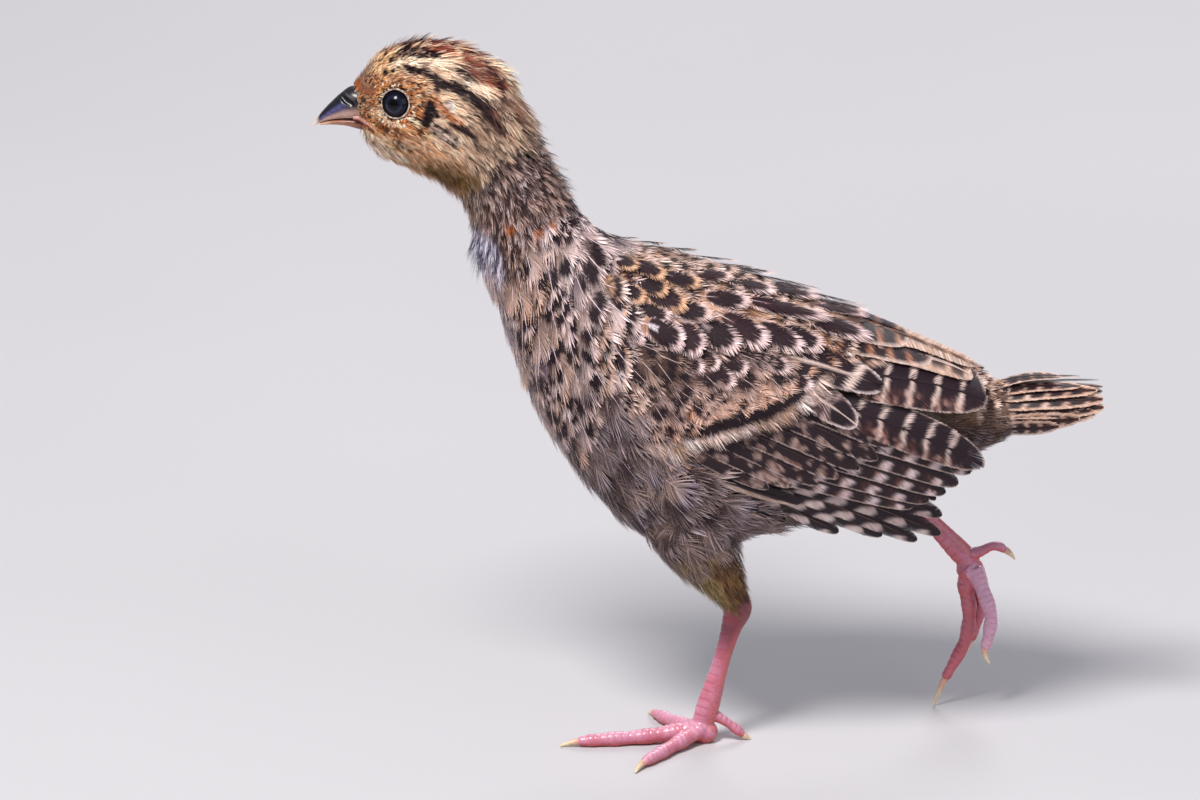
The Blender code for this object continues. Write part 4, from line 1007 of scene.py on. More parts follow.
def paint_rim(x, y, way, shade, wild, home, points):
    """White, orange and black tips in rings round the eye."""
    far = near_eye(home)[:, None] + 0 * x
    tone = pick(wild, 1, x)
    colour = mix(linear(220, 160, 106), linear(190, 128, 78), pick(wild, 2, x))
    colour = mix(colour, linear(246, 232, 214), step(0.52, 0.56, tone))
    colour = mix(colour, linear(30, 20, 22), step(0.78, 0.82, tone) * step(6.0, 5.4, far))
    colour = mix(colour * 0.7, colour, step(0.1, 0.6, y))
    return barb_tone(colour, shade, way, 0.5, WARM)


def build_head_coat(body):
    rng = np.random.default_rng(12)
    coat = Coat("coat_head", COAT_LOOK, "face")

    def open_face(p, a, b):
        clear = (near_eye(p) > 5.3) | (np.abs(p[..., 1]) < 4)
        bill = (p[..., 0] < -96.0) & (np.abs(p[..., 1]) < 4.6) & (p[..., 2] > 185.6) & (p[..., 2] < 194.0)
        return clear & ~bill

    def round_eye(p, a, b):
        return (near_eye(p) > 3.95) & (near_eye(p) < 6.0) & (np.abs(p[..., 1]) > 4)

    # span of the body's length, gap, length, half width, heights at root and tip, hairs to a tuft
    for span, gap, length, half, low, high, hair in (((0.70, 0.79), 1.3, 5.0, 1.1, -0.9, 1.6, 10),
                                                     ((0.785, 0.83), 1.0, 3.4, 0.8, -0.7, 0.8, 8),
                                                     ((0.825, 0.89), 0.72, 1.9, 0.5, -0.45, 0.35, 6),
                                                     ((0.885, 0.9995), 0.58, 1.35, 0.4, -0.3, 0.22, 5)):
        a, b = scatter(body, rng, level(gap), open_face, span=span)
        size = length * (0.75 + 0.5 * rng.random(len(a)))
        chin = step(0.18, 0.08, np.abs(b - 0.5)) * step(0.80, 0.86, a)
        crown = step(0.17, 0.1, np.minimum(b, 1 - b)) * step(0.93, 0.86, a)
        size = size * (1 + 1.1 * chin + crown)
        rise = high + (0.6 * high + 0.3 * chin + 0.7 * crown) * rng.random(len(a))
        rise = rise + (1.6 * crown + 1.5 * chin) * (rng.random(len(a)) > 0.87)
        plant(coat, body, (a, b), paint_head, rng, (size, half * size / length),
              (np.full(len(a), low), rise), hair=hair, parts=3, wander=0.6, stand=0.35 + 0.12 * length)
    a, b = scatter(body, rng, level(0.52), round_eye, span=(0.79, 0.94))
    home = body.at(a, b)[0]
    mirror = np.stack([np.ones(len(a)), -np.sign(home[:, 1]), np.ones(len(a))], axis=1)
    away = home * mirror - EYE_MIDDLE
    away = away - (away @ EYE_OUT)[:, None] * EYE_OUT
    far = np.linalg.norm(away, axis=1)
    run = away / far[:, None] * mirror + np.array([0.3, 0.0, -0.1])
    one = np.ones(len(a))
    low = -1.1 * step(6.0, 4.2, far) - 0.2
    plant(coat, body, (a, b), paint_rim, rng, (1.25 * one, 0.36 * one), (low, low + 0.6), hair=6, parts=2,
          flow=towards(body, a, b, run), wander=0.5, stand=0.25)
    coat.build()


# Wings

# Rows of root x, root z, tip x, tip z, half width and bow, seen from the side; then how many feathers, how
# deep their roots and tips lie under the wing's outer surface.
PRIMARIES = (6, 3.6, 4.0,
             ((-5.5, 86.5, 24.1, 69.4, 3.0, 1.2), (-2.0, 87.6, 42.8, 66.4, 3.1, 2.0),
              (3.0, 88.6, 57.4, 63.2, 3.2, 2.5), (8.0, 89.8, 68.0, 62.6, 3.4, 3.0),
              (13.0, 91.5, 69.8, 70.2, 3.5, 2.5)))
SECONDARIES = (5, 2.8, 2.4,
               ((-1.0, 92.6, 60.7, 75.0, 3.6, 2.2), (13.4, 99.0, 70.0, 78.6, 3.8, 2.2),
                (27.5, 104.1, 78.0, 84.5, 4.0, 2.0)))
ALULA = (2, 2.4, 2.0, ((-8.0, 91.5, 19.5, 71.8, 2.7, -1.0), (-9.5, 97.0, 28.5, 79.0, 2.7, -2.4)))
GREATER_COVERTS = (7, 2.2, 1.5,
                   ((-8.5, 98.0, 19.1, 83.8, 3.4, 1.0), (6.0, 104.0, 39.0, 86.4, 3.8, 1.5),
                    (23.0, 111.5, 55.0, 95.0, 4.2, 1.5)))
# Inner flight feathers, each with its own depths after its half width and bow, from the lowest layer up.
TERTIALS = ((35.1, 110.8, 81.0, 86.4, 6.5, 1.4, 1.7, 1.2), (37.6, 117.6, 81.5, 105.6, 7.2, 1.8, 1.3, 0.7))
INNER_TERTIALS = ((39.0, 125.0, 66.0, 116.4, 3.4, 1.0, 0.9, 0.5),
                  (36.0, 128.2, 59.5, 120.6, 3.0, 0.8, 0.6, 0.3))
TOP_TERTIALS = ((48.0, 121.4, 77.4, 110.6, 2.2, 1.2, 0.9, 0.5),
                (50.0, 124.3, 80.0, 111.2, 2.0, 1.0, 0.6, 0.2))
FORKED = ((19.0, 123.6, 51.7, 112.1, 4.8, 1.0, 0.9, 0.2), (22.0, 117.0, 44.0, 102.6, 4.9, 1.0, 1.0, 0.3))
# Scapulars, as root x, root z, tip x, tip z and half width.
SCAPULARS = (
    (-26.8, 133.5, -17.5, 129.7, 3.1), (-17.3, 133.0, -6.5, 127.6, 3.8), (-9.3, 132.6, -0.6, 125.6, 4.2),
    (-2.9, 133.3, 7.9, 126.0, 4.3), (3.2, 134.3, 16.6, 126.2, 4.4), (13.3, 131.6, 25.8, 124.6, 3.9),
    (20.7, 129.8, 33.0, 123.6, 3.8), (-20.6, 136.4, -8.6, 133.6, 2.8), (-11.1, 137.2, 1.4, 133.4, 2.8),
    (-1.0, 138.0, 12.6, 134.4, 2.9), (9.0, 136.8, 33.0, 128.9, 3.3), (25.3, 132.4, 44.4, 123.9, 4.3),
    (-5.0, 142.6, 8.6, 139.0, 2.7), (4.8, 140.8, 18.9, 135.5, 3.7), (14.5, 138.3, 31.0, 131.9, 2.9),
    (-13.0, 143.8, -2.5, 140.0, 2.9), (29.9, 132.8, 45.5, 126.3, 2.6), (-20.6, 147.0, -12.5, 142.4, 3.0),
    (-26.3, 149.0, -19.5, 144.8, 2.9), (-20.1, 143.9, -11.0, 139.6, 3.2), (-18.3, 141.6, -6.5, 136.8, 3.9),
    (-26.0, 144.0, -17.5, 138.8, 3.3), (-31.0, 141.5, -22.0, 136.6, 3.1), (-31.5, 138.0, -22.5, 133.2, 2.8))
LESSERS = (
    (3.0, 124.6, 12.2, 119.3, 3.0), (-3.9, 124.8, 4.3, 121.0, 2.7), (-10.0, 125.2, -0.6, 120.7, 2.8),
    (-1.0, 121.6, 8.0, 116.4, 2.8), (12.0, 125.2, 23.0, 119.5, 3.1), (20.0, 120.6, 30.0, 114.6, 3.2))
WEB_TILT = 0.66

WING_RIM = ((-32.0, 140.0), (-30.0, 135.0), (-29.0, 124.6), (-23.5, 111.7), (-18.9, 104.6), (-13.5, 95.5),
            (-8.7, 86.0), (-0.7, 78.1), (7.9, 73.8), (17.0, 70.4))
BAR_LINE = ((-16.0, 98.4), (-13.4, 98.9), (-6.8, 100.6), (0.4, 102.5), (7.6, 104.9), (14.8, 107.0),
            (22.0, 109.3), (27.0, 112.0), (34.0, 118.0))


def gap_to(line, x, z):
    """Distance in the side view to a line of x, z points."""
    best = np.full(np.shape(x), 1e6)
    for (ax, az), (bx, bz) in zip(line, line[1:]):
        dx, dz = bx - ax, bz - az
        t = np.clip(((x - ax) * dx + (z - az) * dz) / (dx * dx + dz * dz), 0, 1)
        best = np.minimum(best, np.hypot(x - ax - t * dx, z - az - t * dz))
    return best


def rim_sunk(x, z):
    """How far the folded wing dips towards the body close to its front edge."""
    return 4.4 * (1 - step(0.0, 15.0, gap_to(WING_RIM, x, z)))


def wing_spots(surface, x, z):
    """Places and normals on the wing's outer surface for places of the side view."""
    point, normal, _, _ = surface.at(wing_a(x), wing_turn(x, z))
    return point, normal


def outline_of(y, blunt=3.2, neck=0.45):
    """Half width of a flight feather along its length, from 0 to 1."""
    start = neck + (1 - neck) * step(0.0, 0.3, y)
    return start * (1 - np.clip(y, 0, 1) ** (blunt * 4)) ** 0.5 * (1 - 0.12 * step(0.55, 1.0, y))


def web(count, per_side, parts, rng, slant, blunt=3.2, rough=0.05):
    """Local places of the barbs of flight feathers, as barbs() gives them; slant is each barb's rise along
    the feather for a unit across."""
    shape = (count, 2, per_side, parts + 1, 2)
    side = np.array([-1.0, 1.0]).reshape(1, 2, 1, 1, 1)
    way = (np.arange(parts + 1) / parts).reshape(1, 1, 1, -1, 1)
    edge = np.array([-1.0, 1.0]).reshape(1, 1, 1, 1, 2)
    order = ((np.arange(per_side) + 0.5) / per_side).reshape(1, 1, -1, 1, 1)
    random = rng.random((4, count, 2, per_side, 1, 1))
    q = order + (0.54 * edge * (1 - 0.25 * way**3) + 0.25 * (random[0] - 0.5) * way**2) / per_side
    root_y = 0.99 * np.clip(q, 0, 1)
    reach = slant * (1 - 0.85 * step(0.8, 1.0, root_y))
    end_y = np.minimum(root_y + reach, 1.0)
    t = way * (1 - rough * random[1])
    x = t * outline_of(end_y, blunt)
    y = root_y + (end_y - root_y) * t**1.15
    flat = (count, -1)
    x, y, w = (np.broadcast_to(value, shape).reshape(flat) for value in (x * side, y, t))
    shade = np.broadcast_to(random[2] - 0.5, shape).reshape(flat)
    lift = np.broadcast_to((random[3] - 0.5) * way, shape).reshape(flat)
    cell = (np.arange(2 * per_side)[:, None] * (parts + 1) * 2 + np.arange(parts)[None, :] * 2).reshape(-1,
                                                                                                        1)
    return x, y, w, shade, lift, cell + np.array([[0, 1, 3, 2]])


def vane_rows(tier, rng):
    """Rows of one tier, spread evenly between the given ones, and the depths of roots and tips."""
    count, root_depth, tip_depth, rows = tier
    picked = np.array([curve_row(rows, i / max(count - 1, 1)) for i in range(count)])
    picked[:, 2:4] += rng.uniform(-0.35, 0.35, (count, 2))
    return picked, np.full((count, 1), root_depth), np.full((count, 1), tip_depth)


def placed_rows(rows):
    rows = np.array(rows)
    return rows[:, :6], rows[:, 6:7], rows[:, 7:8]


def lay_vanes(surface, rows, x, y, depth, flip=1.0):
    """Places of long feathers that follow the wing's outer surface, and their depth under it."""
    root, tip, half, bow = rows[:, None, 0:2], rows[:, None, 2:4], rows[:, None, 4], rows[:, None, 5]
    run = tip - root
    size = np.linalg.norm(run, axis=2)
    up = np.stack([-run[..., 1], run[..., 0]], axis=2) / size[..., None]
    across = x * half
    flat = root + run * y[..., None] + up * (bow * 4 * y * (1 - y) + across)[..., None]
    px, pz = flat[..., 0], flat[..., 1]
    point, normal = wing_spots(surface, px, pz)
    under = depth + rim_sunk(px, pz)
    return point - normal * under[..., None]


def plant_vanes(coat, surface, tier, paint, rng, per_side=80, parts=4, blunt=3.2, cell=(0.0, 0.0)):
    """One tier of flight feathers, each lower edge over the next feather's upper edge."""
    rows, root_depth, tip_depth = tier
    count = len(rows)
    per_side = per_side
    length = np.linalg.norm(rows[:, 2:4] - rows[:, 0:2], axis=1)
    slant = 1.5 * rows[:, 4].mean() / length.mean()
    x, y, way, shade, lift, faces = web(count, per_side, parts, rng, slant, blunt)
    wild = rng.random((count, 6))
    depth = root_depth + (tip_depth - root_depth) * y + 1.6 * step(0.25, 0.0, y)
    arch = 0.22 * rows[:, None, 4] * x * x
    below = depth + WEB_TILT * x * step(0.0, 0.4, y) + arch * 0.4 - 0.12 * lift
    points = lay_vanes(surface, rows, x, y, below)
    share = np.arange(count)[:, None] / max(count - 1, 1)
    colour = paint(x, y, y * length[:, None], way, shade, wild, share, points)
    place = 0.03 + 0.94 * (np.arange(count) + 0.5) / count
    u = cell[0] + 0.01 * x + 0.1 * place[:, None]
    coat.add(points, faces, colour, np.stack([u, cell[1] + 0.1 * y], axis=2))
    sx, sy, faces = shafts(count, 24, thick=0.0)
    thick = np.where(np.arange(sx.shape[1]) % 2 == 0, -1, 1)[None, :] * (0.36 - 0.3 * sy)
    sx = thick / rows[:, None, 4]
    depth = root_depth + (tip_depth - root_depth) * sy + 1.6 * step(0.25, 0.0, sy)
    points = lay_vanes(surface, rows, sx, sy, depth - 0.22)
    colour = paint(sx * 0, sy, sy * length[:, None], sx * 0 - 1.0, sx * 0, wild, share, points)
    coat.add(points, faces, colour,
             np.stack([cell[0] + 0.1 * place[:, None] + 0 * sy, cell[1] + 0.1 * sy], axis=2))


def freckles(mm, x, wild, size=2.2):
    return noise(mm * size, x * 3.5 + 9 * wild[:, 1:2], 3.0)


def bars(mm, start, period, wide, soft=0.25):
    """Cross bars from a start on, each so many mm wide."""
    off = np.abs((mm - start) / period - np.round((mm - start) / period)) * period
    return step(wide / 2 + soft, wide / 2 - soft, off)


INK = linear(34, 24, 30)
INK_WARM = linear(62, 44, 42)
PALE = linear(232, 214, 196)
PALE_WARM = linear(206, 172, 138)


def paint_primary(x, y, mm, way, shade, wild, share, points):
    """Nearly black, with pale blocks on the lower web at even steps, and a pale shaft."""
    fleck = freckles(mm, x, wild)
    block = bars(mm + 2.6 * np.abs(x), 9 * wild[:, :1], 9.6, 4.2 * step(0.0, -0.5, x) + 0.8, 0.5)
    block = block * step(0.04, 0.12, -x) * step(0.96, 0.92, y)
    colour = mix(INK, INK_WARM, 0.5 * fleck)
    colour = mix(colour, mix(linear(214, 200, 188), linear(186, 160, 136), 0.6 * step(0.4, 0.8, fleck)),
                 block)
    colour = mix(colour, PALE, 0.8 * step(0.9, 0.98, way) * step(0.9, 0.95, y))
    colour = mix(colour, linear(138, 112, 96), 0.8 * (way < 0) * step(0.98, 0.85, y))
    return barb_tone(colour, shade, way, 0.22)


def paint_secondary(x, y, mm, way, shade, wild, share, points):
    """Dark, with pale freckled blocks that reach in from a thin pale lower edge."""
    fleck = freckles(mm, x, wild, 2.6)
    block = bars(mm + 1.5 * np.abs(x) + 1.2 * fleck, 8 * wild[:, :1], 8.0, 2.7, 0.6) * step(-0.08, -0.3, x)
    block = block * step(0.98, 0.94, y) * step(0.16, 0.4, fleck + 0.15)
    rusty = bars(mm + 3.6, 8 * wild[:, :1], 8.0, 2.2, 0.7) * step(0.45, 0.75, fleck) * step(0.3, -0.3, x)
    colour = mix(INK, INK_WARM, 0.8 * fleck)
    colour = mix(colour, linear(140, 96, 72), 0.7 * rusty)
    colour = mix(colour, mix(linear(222, 208, 200), linear(190, 160, 138), step(0.5, 0.9, fleck)), block)
    colour = mix(colour, linear(220, 200, 182), 0.8 * step(0.9, 0.97, way) * (x < 0))
    colour = mix(colour, linear(70, 52, 48), 0.7 * (way < 0))
    return barb_tone(colour, shade, way, 0.24)


def paint_alula(x, y, mm, way, shade, wild, share, points):
    fleck = freckles(mm, x, wild)
    colour = mix(linear(18, 12, 16), INK_WARM, 0.3 * fleck)
    gaps = bars(mm, 25.0, 11.0, 4.0, 0.6) * step(0.0, -0.3, x) * (1 - share)
    edge = np.maximum(step(0.35, 0.5, -x) * step(0.1, 0.25, y), gaps)
    colour = mix(colour, mix(linear(226, 208, 186), linear(190, 162, 132), fleck), 0.95 * edge * (way > 0))
    return barb_tone(colour, shade, way, 0.25)


def paint_greater(x, y, mm, way, shade, wild, share, points):
    """Dark brown blocks and grey-cream mottling inside a hairy pale edge."""
    blotch = noise(mm * 0.42 + 9 * wild[:, 1:2], x * 1.3 + 5 * wild[:, 2:3], 3.0)
    fine = freckles(mm, x, wild, 1.6)
    colour = mix(linear(184, 164, 148), linear(130, 102, 86), step(0.3, 0.8, fine))
    colour = mix(colour, mix(INK, INK_WARM, fine), step(0.27, 0.37, blotch + 0.25 * (fine - 0.5)))
    colour = mix(colour, linear(214, 196, 182),
                 0.8 * step(0.86, 0.96, way) * step(0.35, 0.6, noise(mm * 0.5, x, 7.0) + 0.2))
    colour = mix(colour, linear(96, 74, 66), 0.6 * (way < 0))
    return barb_tone(colour, shade, way, 0.4)


def paint_tertial(x, y, mm, way, shade, wild, share, points):
    """Dark blocks between a few narrow cream bars, a thin dark shaft, and a cream edge."""
    fleck = freckles(mm, x, wild, 2.8)
    low = step(0.1, 0.7, -x)
    ragged = 1.7 * (fleck - 0.5)
    bar = bars(mm + ragged - 1.6 * low * (1 - share), 17.6 - 2.2 * share, 7.4, 1.35, 0.3)
    bar = bar * step(0.9, 0.85, y) * step(0.02, 0.06, np.abs(x)) * step(0.25, 0.42, fleck + 0.12)
    colour = mix(INK, linear(58, 42, 50), 0.8 * fleck)
    marbled = freckles(mm, x, wild, 1.3)
    colour = mix(colour, linear(150, 98, 74),
                 0.75 * low * step(0.5, 0.7, fleck) * step(0.5, 0.8, 1 - 0.3 * share))
    colour = mix(colour, linear(206, 174, 156),
                 0.8 * low * step(0.62, 0.74, marbled) * step(0.3, 0.5, fleck))
    colour = mix(colour, mix(PALE, linear(214, 176, 150), 0.7 * low * fleck), bar)
    rim = step(0.93, 0.98, way) * step(0.15, 0.3,
                                       y) * (0.35 + 0.65
                                             * step(0.3, 0.6, noise(mm * 0.4, x * 2, 4.0) + 0.1))
    colour = mix(colour, PALE, 0.9 * rim)
    colour = mix(colour, linear(70, 52, 50), 0.9 * (way < 0))
    return barb_tone(colour, shade, way, 0.28)


def paint_inner(x, y, mm, way, shade, wild, share, points):
    """Dark, with rufous and cream cross bars and a pale upper edge."""
    fleck = freckles(mm, x, wild, 2.4)
    bar = bars(mm + fleck + 1.5 * x, 3 * wild[:, :1] + 8.0, 6.0, 1.8, 0.4) * step(0.1, 0.3, np.abs(x))
    colour = mix(INK, INK_WARM, fleck)
    colour = mix(colour, mix(PALE_WARM, linear(172, 116, 80), fleck), bar)
    colour = mix(colour, mix(PALE, PALE_WARM, 0.3 * fleck), step(0.72, 0.86, way))
    colour = mix(colour, linear(150, 120, 100), 0.7 * (way < 0))
    return barb_tone(colour, shade, way, 0.3)


def paint_top(x, y, mm, way, shade, wild, share, points):
    """Narrow cream feathers with a row of brown spots along the middle."""
    fleck = freckles(mm, x, wild)
    spots = bars(mm, 3 * wild[:, :1], 6.2, 4.2, 0.5) * step(0.75, 0.35, np.abs(x - 0.1)) * step(0.96, 0.88,
                                                                                                y)
    colour = mix(PALE, PALE_WARM, fleck)
    colour = mix(colour, mix(INK, linear(110, 78, 56), fleck), spots * (0.95 - 0.5 * share))
    colour = mix(colour, PALE, 0.7 * (way < 0))
    return barb_tone(colour, shade, way, 0.3)


def paint_forked(x, y, mm, way, shade, wild, share, points):
    """Dark halves on either side of a broad white shaft that ends in a cross bar, or a mottled half with an
    end blot."""
    fleck = freckles(mm, x, wild, 1.8)
    white = step(0.12, 0.06, np.abs(x) + 0.05 * (fleck - 0.5)) * step(0.76, 0.70, y)
    cross = step(0.04, 0.025, np.abs(y - 0.74 - 0.06 * x)) * step(0.95, 0.7, np.abs(x))
    forked = mix(mix(INK, linear(58, 42, 50), fleck), PALE, np.maximum(white, cross))
    blot = step(1.1, 0.9, np.hypot(x / 0.72, (y - 0.78) / 0.14))
    mottled = mix(linear(104, 86, 84), linear(196, 176, 162), step(0.3, 0.75, fleck))
    mottled = mix(mottled, INK, np.maximum(blot, 0.7 * step(0.55, 0.4, y) * step(0.5, 0.3, fleck)))
    mottled = mix(mottled, PALE, step(0.035, 0.02, np.abs(x)) * step(0.1, 0.3, y))
    colour = mix(forked, mottled, share + 0 * x)
    rim = 0.9 * step(0.86, 0.94, way) * step(0.5, 0.8, y) * step(0.35, 0.6,
                                                                 noise(mm * 0.6, x * 2, 5.0) + 0.15)
    colour = mix(colour, linear(238, 224, 212), rim)
    colour = mix(colour, linear(214, 196, 178), 0.8 * (way < 0) * step(0.9, 0.7, y))
    return barb_tone(colour, shade, way, 0.3)


def flow_to(surface, root_a, root_b, fall):
    """Headings that make feathers run down at the angle fall, in radians, of the side view."""
    _, _, along, around = surface.at(root_a, root_b)
    back = -along / np.linalg.norm(along, axis=-1, keepdims=True)
    down = around / np.linalg.norm(around, axis=-1, keepdims=True)
    slope = -np.tan(fall)
    top = back[..., 2] - slope * back[..., 0]
    low = down[..., 2] - slope * down[..., 0]
    return np.clip(np.arctan(-top / np.where(np.abs(low) < 1e-3, 1e-3, low)), -1.2, 1.2)


def wing_fall(x, z):
    """How steeply small feathers of the wing run down, at a place of the side view."""
    small = np.interp(x, (-25.0, -10.0, 15.0), (54.0, 46.0, 38.0))
    return np.radians(small + (14.0 - small) * step(121.0, 130.0, z))


def paint_lesser(x, y, way, shade, wild, home, points):
    """Small coverts: pinkish fans with dark blots beside pale shafts, warmer towards the black bar."""
    hx, hz = home[:, None, 0] + 0 * x, home[:, None, 2] + 0 * x
    off = above_bar(home)[:, None] + 0 * x
    warm = step(14.0, 8.0, off) * step(-22.0, -14.0, hx)
    ground = mix(linear(162, 130, 106), linear(214, 184, 160), pick(wild, 2, x))
    ground = mix(ground, mix(linear(200, 138, 82), linear(232, 188, 142), pick(wild, 4, x)), 0.85 * warm)
    cool = step(0.4, 0.6, pick(wild, 5, x)) * (1 - warm)
    ground = mix(ground, linear(120, 108, 116), 0.6 * cool)
    shadow = 0.7 * step(119.0, 124.0, hz) * step(14.0, 4.0, hx) * step(-22.0, -16.0, hx)
    ground = mix(ground, mix(linear(48, 34, 26), linear(124, 98, 70), pick(wild, 4, x)), 0.8 * shadow)
    colour = mix(ground * 0.45, mix(ground, linear(240, 216, 196), 0.5 * (1 - shadow)), step(0.35, 0.9, y))
    colour = mix(colour, linear(50, 38, 38), 0.6 * step(0.28, 0.42, shade) * step(1.0, 0.75, y))
    single = pick(wild, 3, x) < 0.5
    side = np.where(single, np.where(pick(wild, 2, x) < 0.5, 1.0, -1.0) * x, np.abs(x))
    lobe = np.hypot((side - 0.36) / 0.5, (y - 0.64) / 0.19)
    dark = step(1.12, 0.85, lobe) * step(0.14, 0.18, pick(wild, 1, x))
    colour = mix(colour, mix(linear(24, 15, 22), INK_WARM, 0.7 * pick(wild, 4, x)), dark)
    colour = shaft_over(colour, way, y, linear(232, 214, 200), 0.15, 0.95)
    return barb_tone(colour, shade, way, 0.65)


def above_bar(p):
    """Height in mm over the middle of the wing's black bar."""
    return 0.955 * (p[..., 2] - np.interp(p[..., 0], [q[0] for q in BAR_LINE], [q[1] for q in BAR_LINE]))


def paint_median(x, y, way, shade, wild, home, points):
    """Buff fans that all share one black bar, with a pale hairy fringe below it."""
    off = above_bar(points) + 1.5 * shade + 0.5 * (pick(wild, 3, x) - 0.5)
    half = np.interp(points[..., 0], (-17.0, -10.0, 0.0, 15.0, 24.0, 32.0), (1.2, 1.6, 2.0, 2.2, 2.0, 1.3))
    buff = mix(linear(182, 138, 98), linear(224, 190, 162), step(0.2, 0.8, pick(wild, 2, x)))
    colour = mix(buff, linear(240, 220, 204), 0.5 * step(0.2, 0.35, shade))
    colour = mix(colour, linear(74, 54, 46), 0.7 * step(-0.2, -0.4, shade))
    colour = mix(colour, linear(20, 13, 16), step(half + 0.3, half - 0.3, np.abs(off)))
    end = mix(linear(232, 216, 202), linear(176, 150, 122), pick(wild, 4, x))
    colour = mix(colour, end * (0.75 + 0.5 * np.clip(shade + 0.5, 0, 1))[..., None],
                 step(-half + 0.2, -half - 0.4, off))
    return barb_tone(colour, shade, way, 0.5)


def paint_scapular(x, y, way, shade, wild, home, points):
    """A dark oval blot, with a pale wedge in it on the foremost ones, inside a wide pale hairy fringe."""
    hx, hz = home[:, None, 0] + 0 * x, home[:, None, 2] + 0 * x
    front = step(0.0, -8.0, hx) * step(137.0, 134.5, hz)
    warm = step(136.0, 142.0, hz) * step(-4.0, -14.0, hx)
    fringe_tone = mix(linear(238, 216, 204), linear(228, 190, 148), 0.9 * warm)
    colour = mix(linear(186, 152, 124), fringe_tone, step(0.4, 0.72, np.maximum(y, np.abs(x))))
    blot = np.hypot(x / 0.80, (y - 0.58) / 0.31)
    wedge = np.hypot(x / 0.2, (y - 0.34) / 0.12)
    dark = step(1.08, 0.96, blot)
    colour = mix(colour, mix(linear(40, 22, 28), linear(78, 46, 50), 0.6 * pick(wild, 3, x)), dark)
    colour = mix(colour, mix(linear(150, 112, 96), linear(246, 236, 230), front),
                 (0.35 + 0.6 * front) * dark * step(1.1, 0.8, wedge))
    colour = shaft_over(colour, way, y, linear(246, 232, 222), 0.1, 0.45)
    return barb_tone(colour, shade, way, 0.45)


def lay_placed(cover, surface, table, paint, rng, high, per_side=40, lengthen=1.15):
    """Contour feathers at given roots and tips of the side view, later ones over earlier ones."""
    rows = np.array(table)
    root, tip = rows[:, 0:2], rows[:, 2:4]
    root = tip + (root - tip) * lengthen
    a, b = wing_a(root[:, 0]), wing_turn(root[:, 0], root[:, 1])
    tip_a, tip_b = wing_a(tip[:, 0]), wing_turn(tip[:, 0], tip[:, 1])
    start, _, along, around = surface.at(a, b)
    end = surface.at(tip_a, tip_b)[0]
    length = np.linalg.norm(end - start, axis=1) * 1.04
    run_a = (a - tip_a) * np.linalg.norm(along, axis=1)
    run_b = (tip_b - b) * np.linalg.norm(around, axis=1)
    heading = np.arctan2(run_b, run_a)
    sunk = rim_sunk(root[:, 0], root[:, 1])
    plant(cover, surface, (a, b), paint, rng, (length, rows[:, 4] * 1.25), (-2.0 - sunk, high - 0.8 * sunk),
          per_side=per_side, parts=4, flow=heading, wander=0.06, shaft=0.03, fray=0.1, rough=0.12, clump=0.8,
          round_edge=0.6, stand=0.5)


